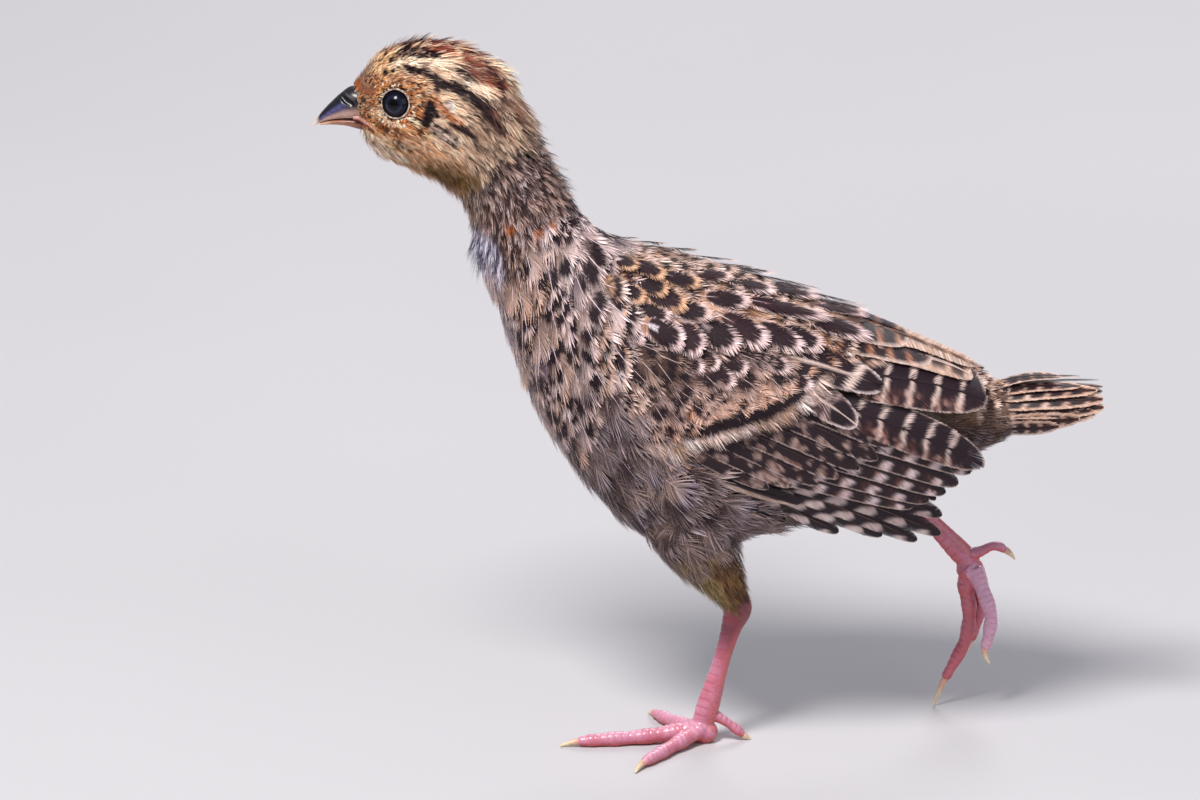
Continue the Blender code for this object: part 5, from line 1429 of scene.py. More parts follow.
def build_wing(side, surface, rng):
    coat = Coat(f"feathers_wing_{side}", VANE_LOOK, "flight_feathers")
    plant_vanes(coat, surface, vane_rows(PRIMARIES, rng), paint_primary, rng, 120, 7, cell=(0.0, 0.0))
    plant_vanes(coat, surface, vane_rows(SECONDARIES, rng), paint_secondary, rng, 120, 7, cell=(0.2, 0.0))
    plant_vanes(coat, surface, vane_rows(ALULA, rng), paint_alula, rng, 50, 4, cell=(0.4, 0.0))
    plant_vanes(coat, surface, vane_rows(GREATER_COVERTS, rng), paint_greater, rng, 70, 7, 1.6,
                cell=(0.6, 0.0))
    plant_vanes(coat, surface, placed_rows(TERTIALS), paint_tertial, rng, 150, 12, 1.5, cell=(0.8, 0.0))
    plant_vanes(coat, surface, placed_rows(INNER_TERTIALS), paint_inner, rng, 60, 4, 1.8, cell=(0.0, 0.2))
    plant_vanes(coat, surface, placed_rows(TOP_TERTIALS), paint_top, rng, 60, 4, 1.8, cell=(0.2, 0.2))
    plant_vanes(coat, surface, placed_rows(FORKED), paint_forked, rng, 90, 6, 1.5, cell=(0.4, 0.2))
    coat.build()

    cover = Coat(f"coverts_{side}", COAT_LOOK, "feathers")

    def fill(gap, keep, paint, length, share, high, per_side):
        a, b = scatter(surface, rng, level(gap), keep)
        home = surface.at(a, b)[0]
        sunk = rim_sunk(home[:, 0], home[:, 2])
        size = length * (0.85 + 0.3 * rng.random(len(a)))
        plant(cover, surface, (a, b), paint, rng, (size, share * size), (-2.6 - sunk, high - sunk * 0.8),
              per_side=per_side, parts=4, flow=flow_to(surface, a, b, wing_fall(home[:, 0], home[:, 2])),
              wander=0.45, fray=0.1, rough=0.14, clump=1.0, round_edge=0.5, tight=0.55, stand=0.7,
              shaft=0.03, gather=0.66)

    bar_x, bar_z = [q[0] for q in BAR_LINE], [q[1] for q in BAR_LINE]
    front_z, front_x = (78.0, 86.0, 95.5, 104.6, 111.7, 124.6, 135.0), (-1.0, -8.7, -13.5, -18.9, -23.5,
                                                                        -29.0, -30.0)

    def lesser(p, a, b):
        x, z = p[..., 0], p[..., 2]
        top = np.interp(x, (-34.0, -10.0, 15.0, 30.0), (131.0, 129.0, 127.0, 118.0))
        return (z > np.interp(x, bar_x, bar_z) + 8.6) & (z < top) & (x > np.interp(z, front_z, front_x)
                                                                     - 1.0) & (x < 24.0)

    def marginal(p, a, b):
        x, z = p[..., 0], p[..., 2]
        front = np.interp(z, front_z, front_x)
        return (z < np.interp(x, bar_x, bar_z) + 4.5) & (z > 89.0) & (x > front - 1.0) & (x < front + 6.0)

    def shoulder(p, a, b):
        x, z = p[..., 0], p[..., 2]
        low = np.interp(x, (-30.0, -10.0, 12.0, 30.0, 44.0, 52.0),
                        (132.0, 129.0, 128.0, 122.5, 122.0, 124.0))
        return (z > low) & (x > -30.0) & (x < 44.0)

    fill(3.8, marginal, paint_lesser, 9.5, 0.38, -0.1, 30)
    fill(4.2, lesser, paint_lesser, 9.6, 0.40, 0.3, 34)
    # median coverts with the black bar
    for count, over, deep in ((22, 7.4, 0.4), (26, 5.4, 0.8)):
        share = (np.arange(count) + 0.5) / count
        root_x = -22.5 + 49.0 * share
        root_z = np.interp(root_x + 6.0, bar_x, bar_z) + over
        a, b = wing_a(root_x), wing_turn(root_x, root_z)
        one = np.ones(count)
        sunk = rim_sunk(root_x, root_z)
        plant(cover, surface, (a, b), paint_median, rng, (13.4 * one, 3.9 * one),
              (-1.6 - sunk, deep - 0.8 * sunk), per_side=38, parts=5, wander=0.16,
              flow=flow_to(surface, a, b, np.radians(46.0 - 6.0 * share)), fray=0.08, rough=0.1, clump=0.9,
              stand=0.5, shaft=0.0, gather=0.6, round_edge=0.5)

    fill(5.0, shoulder, paint_mantle, 12.0, 0.40, -0.4, 32)
    lay_placed(cover, surface, LESSERS, paint_scapular, rng, 0.5, 34)
    lay_placed(cover, surface, SCAPULARS[::-1], paint_scapular, rng, 1.6)
    cover.build()


def wing_core_grid(surface):
    """A closed shell under a wing's feathers."""
    xs = np.linspace(-28.0, 62.0, 60)
    rows = []
    for x in xs:
        low = np.interp(x, (-28.0, -19.0, -8.5, 16.0, 46.0, 62.0), (122.0, 106.0, 89.0, 80.0, 80.0, 84.0))
        high = np.interp(x, (-28.0, -12.0, 12.0, 34.0, 50.0, 62.0),
                         (134.0, 137.0, 134.0, 126.5, 119.0, 112.0))
        z = np.linspace(low, high, 25)
        out_point, normal = wing_spots(surface, np.full(25, x), z)
        taper = np.sin(np.pi * np.linspace(0.06, 0.94, 25))
        outer = 4.6 + rim_sunk(np.full(25, x), z)
        inner = outer + 1.0 + 5.0 * taper * math.sin(math.pi * (0.05 + 0.9 * (x + 28) / 90.0))
        ring = [out_point - normal * outer[:, None], (out_point - normal * inner[:, None])[::-1]]
        rows.append(np.concatenate(ring))
    return np.stack(rows)


# Tail

TAIL_COUNT = 8
TAIL_TIPS = ((102.0, 1.3, 107.4), (112.3, 4.2, 105.0), (115.0, 6.2, 101.4), (112.0, 7.4, 98.6),
             (102.0, 7.8, 95.2))
TAIL_ROOT = (85.0, 97.6)
TAIL_ARC = (5.2, 6.8)
TAIL_TURNS = (8.0, 128.0)
TAIL_BOW = 1.3
TAIL_HALF = 2.9
TAIL_TILT = 0.8


def paint_tail(x, y, mm, way, shade, wild, share, points):
    """Dark along the middle, broken by narrow cream bars, with cream edges and a rufous tint near the tip."""
    fleck = noise(mm * 2.2, x * 4 + 5 * wild[:, 1:2], 8.0)
    bar = bars(mm + 2.0 * np.abs(x) + 0.8 * fleck, 5 * wild[:, :1], 5.2, 1.3, 0.4) * step(0.12, 0.3,
                                                                                          np.abs(x))
    pale = mix(linear(232, 208, 184), linear(190, 128, 84), 0.6 * step(0.3, 0.8, y) * fleck)
    colour = mix(mix(INK, linear(74, 50, 48), fleck), pale, bar * step(0.2, 0.4, fleck + 0.1))
    colour = mix(colour, mix(linear(238, 218, 196), linear(206, 168, 134), fleck),
                 0.95 * step(0.62, 0.78, way))
    colour = mix(colour, linear(168, 104, 66),
                 0.4 * step(0.6, 1.0, y) * step(0.7, 0.5, way) * step(0.4, 0.7, fleck))
    colour = mix(colour, linear(96, 70, 56), 0.8 * (way < 0))
    return barb_tone(colour, shade, way, 0.25)


def lay_tail(share, tips, sign, x, y, high):
    turn = np.radians(TAIL_TURNS[0] + (TAIL_TURNS[1] - TAIL_TURNS[0]) * share)[:, None]
    zero = 0 * turn
    root = np.stack([zero + TAIL_ROOT[0] - 4.0, TAIL_ARC[0] * np.sin(turn),
                     TAIL_ROOT[1] + TAIL_ARC[1] * np.cos(turn)], axis=2)
    out = np.stack([zero, np.sin(turn), np.cos(turn)], axis=2)
    across = np.stack([zero, -np.cos(turn), np.sin(turn)], axis=2)
    bow = TAIL_BOW * 4 * y * (1 - y) * (1 - 0.5 * share[:, None])
    centre = root + (tips[:, None, :] - root) * y[..., None] + out * bow[..., None]
    lean = high - TAIL_TILT * x * step(0.0, 0.6, y)
    point = centre + across * (x * TAIL_HALF)[..., None] + out * lean[..., None]
    return point * np.array([1.0, sign, 1.0])


def build_tail():
    coat = Coat("feathers_tail", VANE_LOOK, "flight_feathers")
    for sign, seed in ((-1.0, 31), (1.0, 32)):
        rng = np.random.default_rng(seed)
        share = np.arange(TAIL_COUNT) / (TAIL_COUNT - 1)
        tips = np.array([curve_row(TAIL_TIPS, s) for s in share]) + rng.uniform(-0.4, 0.4, (TAIL_COUNT, 3))
        per_side = 60
        x, y, way, shade, lift, faces = web(TAIL_COUNT, per_side, 8, rng, 0.16, 2.2, 0.08)
        wild = rng.random((TAIL_COUNT, 6))
        points = lay_tail(share, tips, sign, x, y, 0.15 * lift - 0.3 * x * x)
        mm = y * 30.0
        colour = paint_tail(x, y, mm, way, shade, wild, share[:, None], points)
        corner = 0.3 if sign < 0 else 0.5
        place = (np.arange(TAIL_COUNT) + 0.5)[:, None] / TAIL_COUNT
        coat.add(points, faces, colour, np.stack([corner + 0.1 * place + 0.005 * x, 0.3 + 0.1 * y], axis=2))
        sx, sy, faces = shafts(TAIL_COUNT, 16, thick=0.0)
        sx = np.where(np.arange(sx.shape[1]) % 2 == 0, -1, 1)[None, :] * (0.12 - 0.09 * sy)
        points = lay_tail(share, tips, sign, sx, sy, 0.2 + 0 * sx)
        colour = paint_tail(0 * sx, sy, sy * 30.0, 0 * sx - 1.0, 0 * sx, wild, share[:, None], points)
        coat.add(points, faces, colour, np.stack([corner + 0.1 * place + 0 * sx, 0.3 + 0.1 * sy], axis=2))
    coat.build()


def build_skin(body, wings):
    """One skin under all the plumage, inside the solids by the coat's depth."""
    count_a, count_b = 200, 96
    a = np.repeat(np.linspace(0, 1, count_a)[:, None], count_b, 1)
    b = np.repeat((np.arange(count_b) / count_b)[None, :], count_a, 0)
    point, normal, _, _ = body.at(a, b)
    depth = np.interp(a, (0, 0.1, 0.55, 0.66, 0.8, 0.92, 1.0), (1.2, 2.2, 2.0, 1.0, 0.6, 0.35, 0.5))
    reach = np.minimum(depth, 0.45 * np.abs(point - point.mean(axis=1, keepdims=True)).max(axis=2))
    socket = 1.3 * step(6.2, 4.6, near_eye(point)) * (np.abs(point[..., 1]) > 4)
    inner = point - normal * (reach + socket)[..., None]
    shells = [closed_grid(inner)]
    for surface in wings.values():
        shells.append(closed_grid(wing_core_grid(surface)))
    for leg, reach in ((LEFT_LEG, 0.95), (RIGHT_LEG, 0.55)):
        knee, hock = np.array(leg["knee"]), np.array(leg["hock"])
        path = [knee + (hock - knee) * reach * share for share in THIGH_PLACES]
        radii = [max(r - THIGH_INSET, 1.0) for r in THIGH_RADII]
        shells.append(closed_grid(tube_grid(path, radii, 30, 32)))
    points, faces, base = [], [], 0
    for shell_points, shell_faces in shells:
        points.append(shell_points)
        faces.append(shell_faces + base)
        base += len(shell_points)
    points, faces = np.concatenate(points), np.concatenate(faces)
    colour = body_ground(points) * 0.5
    wing_part = np.zeros(len(points), bool)
    start = len(shells[0][0])
    stop = start + sum(len(shell[0]) for shell in shells[1:3])
    wing_part[start:stop] = True
    colour[wing_part] = BROWN
    item = new_object("skin", points, faces, SKIN_LOOK, colour)
    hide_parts("head", "neck", "torso", "tail", "wing_left", "wing_right", "thigh_left",
                "thigh_right")
    return item


# Thighs

def thigh_surface(leg, reach):
    knee, hock = np.array(leg["knee"]), np.array(leg["hock"])
    path = [knee + (hock - knee) * reach * share for share in THIGH_PLACES[::-1]]
    grid = tube_grid(path, THIGH_RADII[::-1], 80, 64)
    return Surface(grid, True, grid.mean(axis=1, keepdims=True))


def paint_thigh(x, y, way, shade, wild, home, points):
    low = step(68.0, 55.0, points[..., 2])
    front = step(3.0, -3.0, points[..., 0] - 0.5 * (60.0 - points[..., 2]))
    ground = mix(linear(150, 140, 140), linear(178, 166, 162), pick(wild, 1, x))
    warm = mix(linear(142, 106, 54), linear(180, 146, 96), pick(wild, 2, x))
    warm = mix(warm, linear(178, 168, 128), 0.7 * front)
    colour = mix(ground, warm, low)
    colour = mix(colour, linear(76, 52, 32),
                 0.7 * step(0.5, 0.75, pick(wild, 3, x)) * low * (1 - 0.8 * front))
    colour = mix(colour * (0.55 + 0.45 * step(0.0, 0.6, y))[..., None], linear(214, 198, 178),
                 0.3 * step(0.5, 1.0, y))
    return barb_tone(colour, shade, way, 0.8, mix(COOL, WARM, low))


def build_thigh_coat():
    rng = np.random.default_rng(14)
    coat = Coat("coat_thighs", COAT_LOOK, "feathers")
    for leg, reach in ((LEFT_LEG, 0.98), (RIGHT_LEG, 0.6)):
        surface = thigh_surface(leg, reach)
        spacing = lambda p: 1.7 + 1.4 * step(48.0, 62.0, p[..., 2])
        a, b = scatter(surface, rng, spacing, lambda p, a, b: a > 0, span=(0.0, 0.66))
        count = len(a)
        size = np.interp(a, (0.0, 0.3, 0.6, 1.0), (4.2, 6.5, 10.0, 11.0))
        high = 0.3 + 0.9 * rng.random(count)
        plant(coat, surface, (a, b), paint_thigh, rng, (size, 0.26 * size), (np.full(count, -1.6), high),
              hair=12, parts=3, wander=0.5, stand=0.8)
        a, b = scatter(surface, rng, level(5.0), lambda p, a, b: a > 0, span=(0.58, 0.97))
        count = len(a)
        size = 12.5 * (0.85 + 0.3 * rng.random(count))
        high = 0.6 + 0.8 * rng.random(count)
        home = surface.at(a, b)[0]
        off = home[:, 0] - leg["knee"][0] - 0.55 * (leg["knee"][2] - home[:, 2])
        fall = np.radians(np.interp(off, (-6.0, 4.0), (62.0, 40.0)))
        run = np.stack([np.cos(fall), 0 * fall, -np.sin(fall)], axis=1)
        plant(coat, surface, (a, b), paint_flank, rng, (size, 0.36 * size), (np.full(count, -2.0), high),
              per_side=36, parts=3, fray=0.07, rough=0.2, clump=1.3, round_edge=0.5, tight=0.4, shaft=0.0,
              wander=0.3, stand=0.8, gather=0.66, flow=towards(surface, a, b, run))
    coat.build()


# Bill

NOSTRIL = (100.6, 191.5)
NOSTRIL_LEAN = math.radians(28)
# The bare corner of the mouth on the face, as x, z and radius.
GAPE = ((-99.0, 186.9, 0.5), (-97.2, 186.9, 0.75), (-95.9, 186.6, 0.8), (-94.8, 186.1, 0.7),
        (-93.8, 185.4, 0.45), (-93.0, 184.7, 0.2))


def nostril_place(x, z):
    """Places along and across the slanting nostril."""
    dx, dz = x + NOSTRIL[0], z - NOSTRIL[1]
    c, s = math.cos(NOSTRIL_LEAN), math.sin(NOSTRIL_LEAN)
    return dx * c - dz * s, dx * s + dz * c


def build_gape():
    """The fleshy corners of the mouth, which reach back over the face under the eyes."""
    places = BODY.layers[..., 0:3].reshape(-1, 3)
    places = places[places[:, 1] < 0]
    path = []
    for x, z, radius in GAPE:
        near = np.argmin(np.hypot(places[:, 0] - x, places[:, 2] - z))
        beak = np.interp(-x, (95.5, 99.5), (UPPER_BILL[0][4], UPPER_BILL[1][4]))
        path.append((x, -max(beak - 0.15, -places[near, 1]) if x > -97.5 else -beak + 0.3, z))
    grid = tube_grid(path, tuple(place[2] for place in GAPE), 40, 20, 0.5)
    points, faces = closed_grid(grid)
    line = np.interp(points[:, 0], [place[0] for place in GAPE], [place[1] for place in GAPE])
    grain = noise(points[:, 0] * 3, points[:, 2] * 3, 16.0)
    flesh = mix(linear(176, 134, 120), linear(202, 160, 144), grain)
    colour = mix(flesh, linear(150, 36, 44), step(line + 0.05, line - 0.35, points[:, 2]))
    for side, sign in (("left", 1.0), ("right", -1.0)):
        item = new_object(f"gape_{side}", points * np.array([1.0, sign, 1.0]), faces, BILL_LOOK, colour)


def beak_ring(row, turns, boxy):
    """One ring of half a bill, square along the edge that meets the other half: the lower one for -1."""
    top, bottom = np.array([row[0], row[1]]), np.array([row[2], row[3]])
    middle, half = (top + bottom) / 2, (top - bottom) / 2
    c, s = np.cos(turns), np.sin(turns)
    meets = c * boxy > 0
    c = np.sign(c) * np.abs(c) ** np.where(meets, 0.42, 1.0)
    side = np.sign(s) * np.abs(s) ** np.where(meets, 0.5, 0.85) * row[4]
    return np.stack([middle[0] + half[0] * c, side, middle[1] + half[1] * c], axis=1)


def build_bill():
    """Both halves of the bill, with a slanting nostril and a pale cutting edge."""
    for name, rows, nodes in (("beak_upper", UPPER_BILL, ("bill_upper",)),
                              ("beak_lower", LOWER_BILL, ("bill_lower",))):
        steps, sides = 90, 64
        turns = np.arange(sides) / sides * 2 * math.pi
        upper = name == "beak_upper"
        rings = [beak_ring(curve_row(rows, i / (steps - 1)), turns, -1 if upper else 1)
                 for i in range(steps)]
        grid = np.stack(rings)
        if name == "beak_upper":
            x, y, z = grid[..., 0], grid[..., 1], grid[..., 2]
            u, v = nostril_place(x, z)
            pit = step(1.25, 0.5, np.hypot(u / 2.4, v / 0.95))
            grid[..., 1] = y - np.sign(y) * 1.0 * pit * (np.abs(y) > 1.0)
        points, faces = closed_grid(grid)
        x, y, z = points[:, 0], np.abs(points[:, 1]), points[:, 2]
        if name == "beak_upper":
            top = np.interp(-x, (95.5, 99.5, 102.2, 105.0, 107.8, 110.5),
                            (194.6, 194.7, 193.0, 190.4, 187.4, 183.5))
            low = np.interp(-x, (92.6, 96.5, 100.0, 103.5, 106.8, 110.4),
                            (185.6, 186.1, 186.1, 185.8, 185.0, 183.1))
            high = np.clip((z - low) / np.maximum(top - low, 0.3), 0, 1)
            grain = noise(x * 1.4, z * 2.2, 14.0)
            colour = mix(linear(50, 46, 80), linear(90, 86, 134), grain)
            colour = mix(colour, linear(14, 12, 24), step(0.58, 0.84, high))
            colour = mix(colour, linear(20, 17, 26), step(-102.6, -100.0, x) * step(0.3, 0.5, high))
            colour = mix(colour, linear(74, 58, 62), 0.8 * step(0.50, 0.36, high))
            colour = mix(colour, mix(linear(188, 150, 136), linear(158, 122, 112), grain),
                         step(0.40, 0.26, high))
            colour = mix(colour, linear(206, 178, 164), step(0.14, 0.04, high))
            colour = mix(colour, linear(222, 198, 176), step(-108.4, -109.8, x))
            u, v = nostril_place(x, z)
            colour = mix(colour, linear(92, 84, 88),
                         0.6 * step(1.25, 0.7, np.hypot(u / 1.5, (v - 1.5) / 0.4)) * (y > 1))
            # painted shade: the nostril's opening is painted near black for the dark inside it
            colour = mix(colour, linear(3, 2, 3), step(1.15, 0.9, np.hypot(u / 2.5, v / 1.05)) * (y > 1))
        else:
            grain = noise(x * 1.4, z * 2.2, 15.0)
            colour = mix(linear(160, 110, 84), linear(122, 74, 52),
                         np.maximum(step(-101.0, -97.0, x), 0.5 * grain))
            colour = mix(colour, linear(96, 52, 46), 0.8 * step(184.6, 185.4, z) * step(-104.0, -99.0, x))
            colour = mix(colour, linear(196, 158, 132), step(-104.5, -107.5, x))
        item = new_object(name, points, faces, BILL_LOOK, colour)
        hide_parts(*nodes)


# Eyes

PUPIL = 1.45
IRIS = 2.5
LID_OPENING = 3.8
LID_HALF = 0.30


def build_eyes():
    """Wet dark eyes with a slate iris, each in a thin ring of bare lid."""
    across = np.cross(EYE_OUT, (0.0, 0.0, 1.0))
    across = across / np.linalg.norm(across)
    frame_of_eye = np.stack([across, np.cross(across, EYE_OUT), EYE_OUT])
    for side, sign in (("left", 1.0), ("right", -1.0)):
        mirror = np.array([1.0, sign, 1.0])
        steps, sides = 48, 64
        turn = np.linspace(0.02, math.pi - 0.02, steps)[:, None]
        around = (np.arange(sides) / sides * 2 * math.pi)[None, :]
        ball = np.stack([np.sin(turn) * np.cos(around), np.sin(turn) * np.sin(around),
                         np.cos(turn) + 0 * around], axis=2)
        points, faces = closed_grid(EYE_RADIUS * ball)
        far = np.hypot(points[:, 0], points[:, 1])
        angle = np.arctan2(points[:, 1], points[:, 0])
        ray = noise(angle * 9, far * 1.2, 9.0)
        # The slate ring is the iris's own colour; its stronger lower half is painted light.
        below = step(0.8, -1.2, points[:, 1])
        ring = step(0.34, 0.08, np.abs(far - IRIS + 0.25)) * (0.14 + 0.5 * below)
        colour = mix(linear(2, 2, 4), linear(20, 22, 38) * (0.7 + 0.5 * ray)[:, None],
                     step(PUPIL - 0.08, PUPIL + 0.12, far))
        colour = mix(colour, linear(62, 66, 94), 0.8 * ring)
        colour = mix(colour, linear(9, 10, 26), step(IRIS - 0.1, IRIS + 0.25, far))
        colour = mix(colour, linear(4, 4, 8), step(3.0, 3.5, far))
        colour[points[:, 2] < 0] = linear(20, 16, 18)
        item = new_object(f"eyeball_{side}", (EYE_MIDDLE + points @ frame_of_eye) * mirror, faces, EYE_LOOK,
                          colour)
        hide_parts(f"eye_{side}")
        build_lid(side, frame_of_eye, mirror)


def build_lid(side, frame_of_eye, mirror):
    """A thin wrinkled ring of lid over the edge of the eye."""
    around, sides = 120, 16
    turn = (np.arange(around) / around * 2 * math.pi)[:, None]
    roll = (np.arange(sides) / sides * 2 * math.pi)[None, :]
    wrinkle = 1 + 0.06 * np.sin(turn * 19 + 1.0) + 0.05 * np.sin(turn * 31)
    reach = LID_OPENING + LID_HALF * (1 + np.cos(roll) * wrinkle)
    out = math.sqrt(EYE_RADIUS**2 - LID_OPENING**2) + 0.1 + LID_HALF * np.sin(roll) * wrinkle
    grid = np.stack([reach * np.cos(turn), reach * np.sin(turn), out + 0 * turn], axis=2)
    points = (EYE_MIDDLE + grid.reshape(-1, 3) @ frame_of_eye) * mirror
    i, j = np.arange(around)[:, None], np.arange(sides)[None, :]
    k, m = (i + 1) % around, (j + 1) % sides
    faces = np.stack([i * sides + j, i * sides + m, k * sides + m, k * sides + j], axis=2).reshape(-1, 4)
    rim = np.broadcast_to(np.cos(roll), grid.shape[:2]).reshape(-1)
    fleck = noise(np.broadcast_to(turn, grid.shape[:2]).reshape(-1) * 14, rim * 2, 10.0)
    colour = mix(linear(14, 12, 20), mix(linear(120, 94, 80), linear(206, 190, 178), step(0.3, 0.7, fleck)),
                 step(-0.75, -0.3, rim))
    item = new_object(f"lid_{side}", points, faces, LID_LOOK, colour)


# Legs

LEG_PINK = linear(192, 102, 128)
# painted light: the paler pink laid on skin that faces up
LEG_TOP_LIGHT = linear(234, 186, 208)
LEG_RED = linear(184, 58, 62)
LEG_DEEP = linear(84, 18, 38)


def near_path(points, path):
    """For each point, how far along a path of points it lies, in mm, and the vector from the path."""
    best = np.full(len(points), 1e9)
    along = np.zeros(len(points))
    away = np.zeros((len(points), 3))
    run = 0.0
    for a, b in zip(path, path[1:]):
        d = b - a
        size = np.linalg.norm(d)
        t = np.clip((points - a) @ d / size**2, 0, 1)
        off = points - a - t[:, None] * d
        reach = np.linalg.norm(off, axis=1)
        closer = reach < best
        best[closer] = reach[closer]
        along[closer] = run + t[closer] * size
        away[closer] = off[closer]
        run += size
    return along, away, best


def leg_paths(leg, toes):
    knee, hock, foot = (np.array(leg[part]) for part in ("knee", "hock", "foot"))
    start = knee + (hock - knee) * 0.86
    shank = [start] + [hock + (foot - hock) * (0.02 + 0.86 * i / 5) for i in range(6)]
    shank.append(foot - (hock - foot) / np.linalg.norm(hock - foot) * 1.0)
    paths = {"shank": (shank, TARSUS_RADII + (3.1,))}
    for name, points in toes.items():
        paths[name] = ([np.array(p) for p in points[:5]], TOE_RADII[name])
    return paths


def toe_bulge(length):
    """Soft pads under a toe, one between two joints."""
    def bulge(share, turns):
        return 1.0 + 0.07 * math.sin(share * length / 7.5 * 2 * math.pi + 0.5)
    return bulge


def build_leg(side, leg, toes):
    paths = leg_paths(leg, toes)
    shells, base, points, faces = [], 0, [], []
    for name, (path, radii) in paths.items():
        flat = 0.8 if name == "shank" else 1.0
        length = sum(np.linalg.norm(b - a) for a, b in zip(path, path[1:]))
        bulge = None if name == "shank" else toe_bulge(length)
        grid = tube_grid(path, radii, max(int(length / 0.45), 24), 48, flat, bulge)
        if name != "shank":
            tip = (path[-1] - path[-2]) / np.linalg.norm(path[-1] - path[-2])
            more = [grid[-1].mean(axis=0) + (grid[-1] - grid[-1].mean(axis=0)) * math.cos(t) + tip
                    * radii[-1] * 0.8 * math.sin(t) for t in (0.4, 0.8, 1.2)]
            grid = np.concatenate([grid, np.stack(more)])
        shell_points, shell_faces = closed_grid(grid)
        shells.append((shell_points, shell_faces))
    foot = np.array(leg["foot"])
    pad_at = foot.copy()
    pad_at[2] = 3.0 if side == "left" else foot[2] - 2.0
    turn = np.linspace(0.05, math.pi - 0.05, 20)[:, None]
    around = (np.arange(32) / 32 * 2 * math.pi)[None, :]
    size = np.array((4.0, 3.4, 3.6))
    ball = np.stack([np.sin(turn) * np.cos(around), np.sin(turn) * np.sin(around),
                     np.cos(turn) + 0 * around], axis=2)
    shells.append(closed_grid(pad_at + ball * size))
    for shell_points, shell_faces in shells:
        points.append(shell_points)
        faces.append(shell_faces + base)
        base += len(shell_points)
    item = new_object(f"leg_{side}", np.concatenate(points), np.concatenate(faces), LEG_LOOK)
    fuse(item, 0.00028, 6)
    scale_leg(item, side, paths)
    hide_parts(f"shank_{side}", f"foot_{side}")


def fuse(item, voxel, rounds):
    """Melts the overlapping shells of a piece into one closed skin."""
    remesh = item.modifiers.new("fuse", "REMESH")
    remesh.mode = "VOXEL"
    remesh.voxel_size = voxel
    even = item.modifiers.new("even", "SMOOTH")
    even.factor = 0.5
    even.iterations = rounds
    graph = bpy.context.evaluated_depsgraph_get()
    made = bpy.data.meshes.new_from_object(item.evaluated_get(graph))
    old = item.data
    item.modifiers.clear()
    item.data = made
    bpy.data.meshes.remove(old)
    made.name = item.name
    made.polygons.foreach_set("use_smooth", np.ones(len(made.polygons), bool))


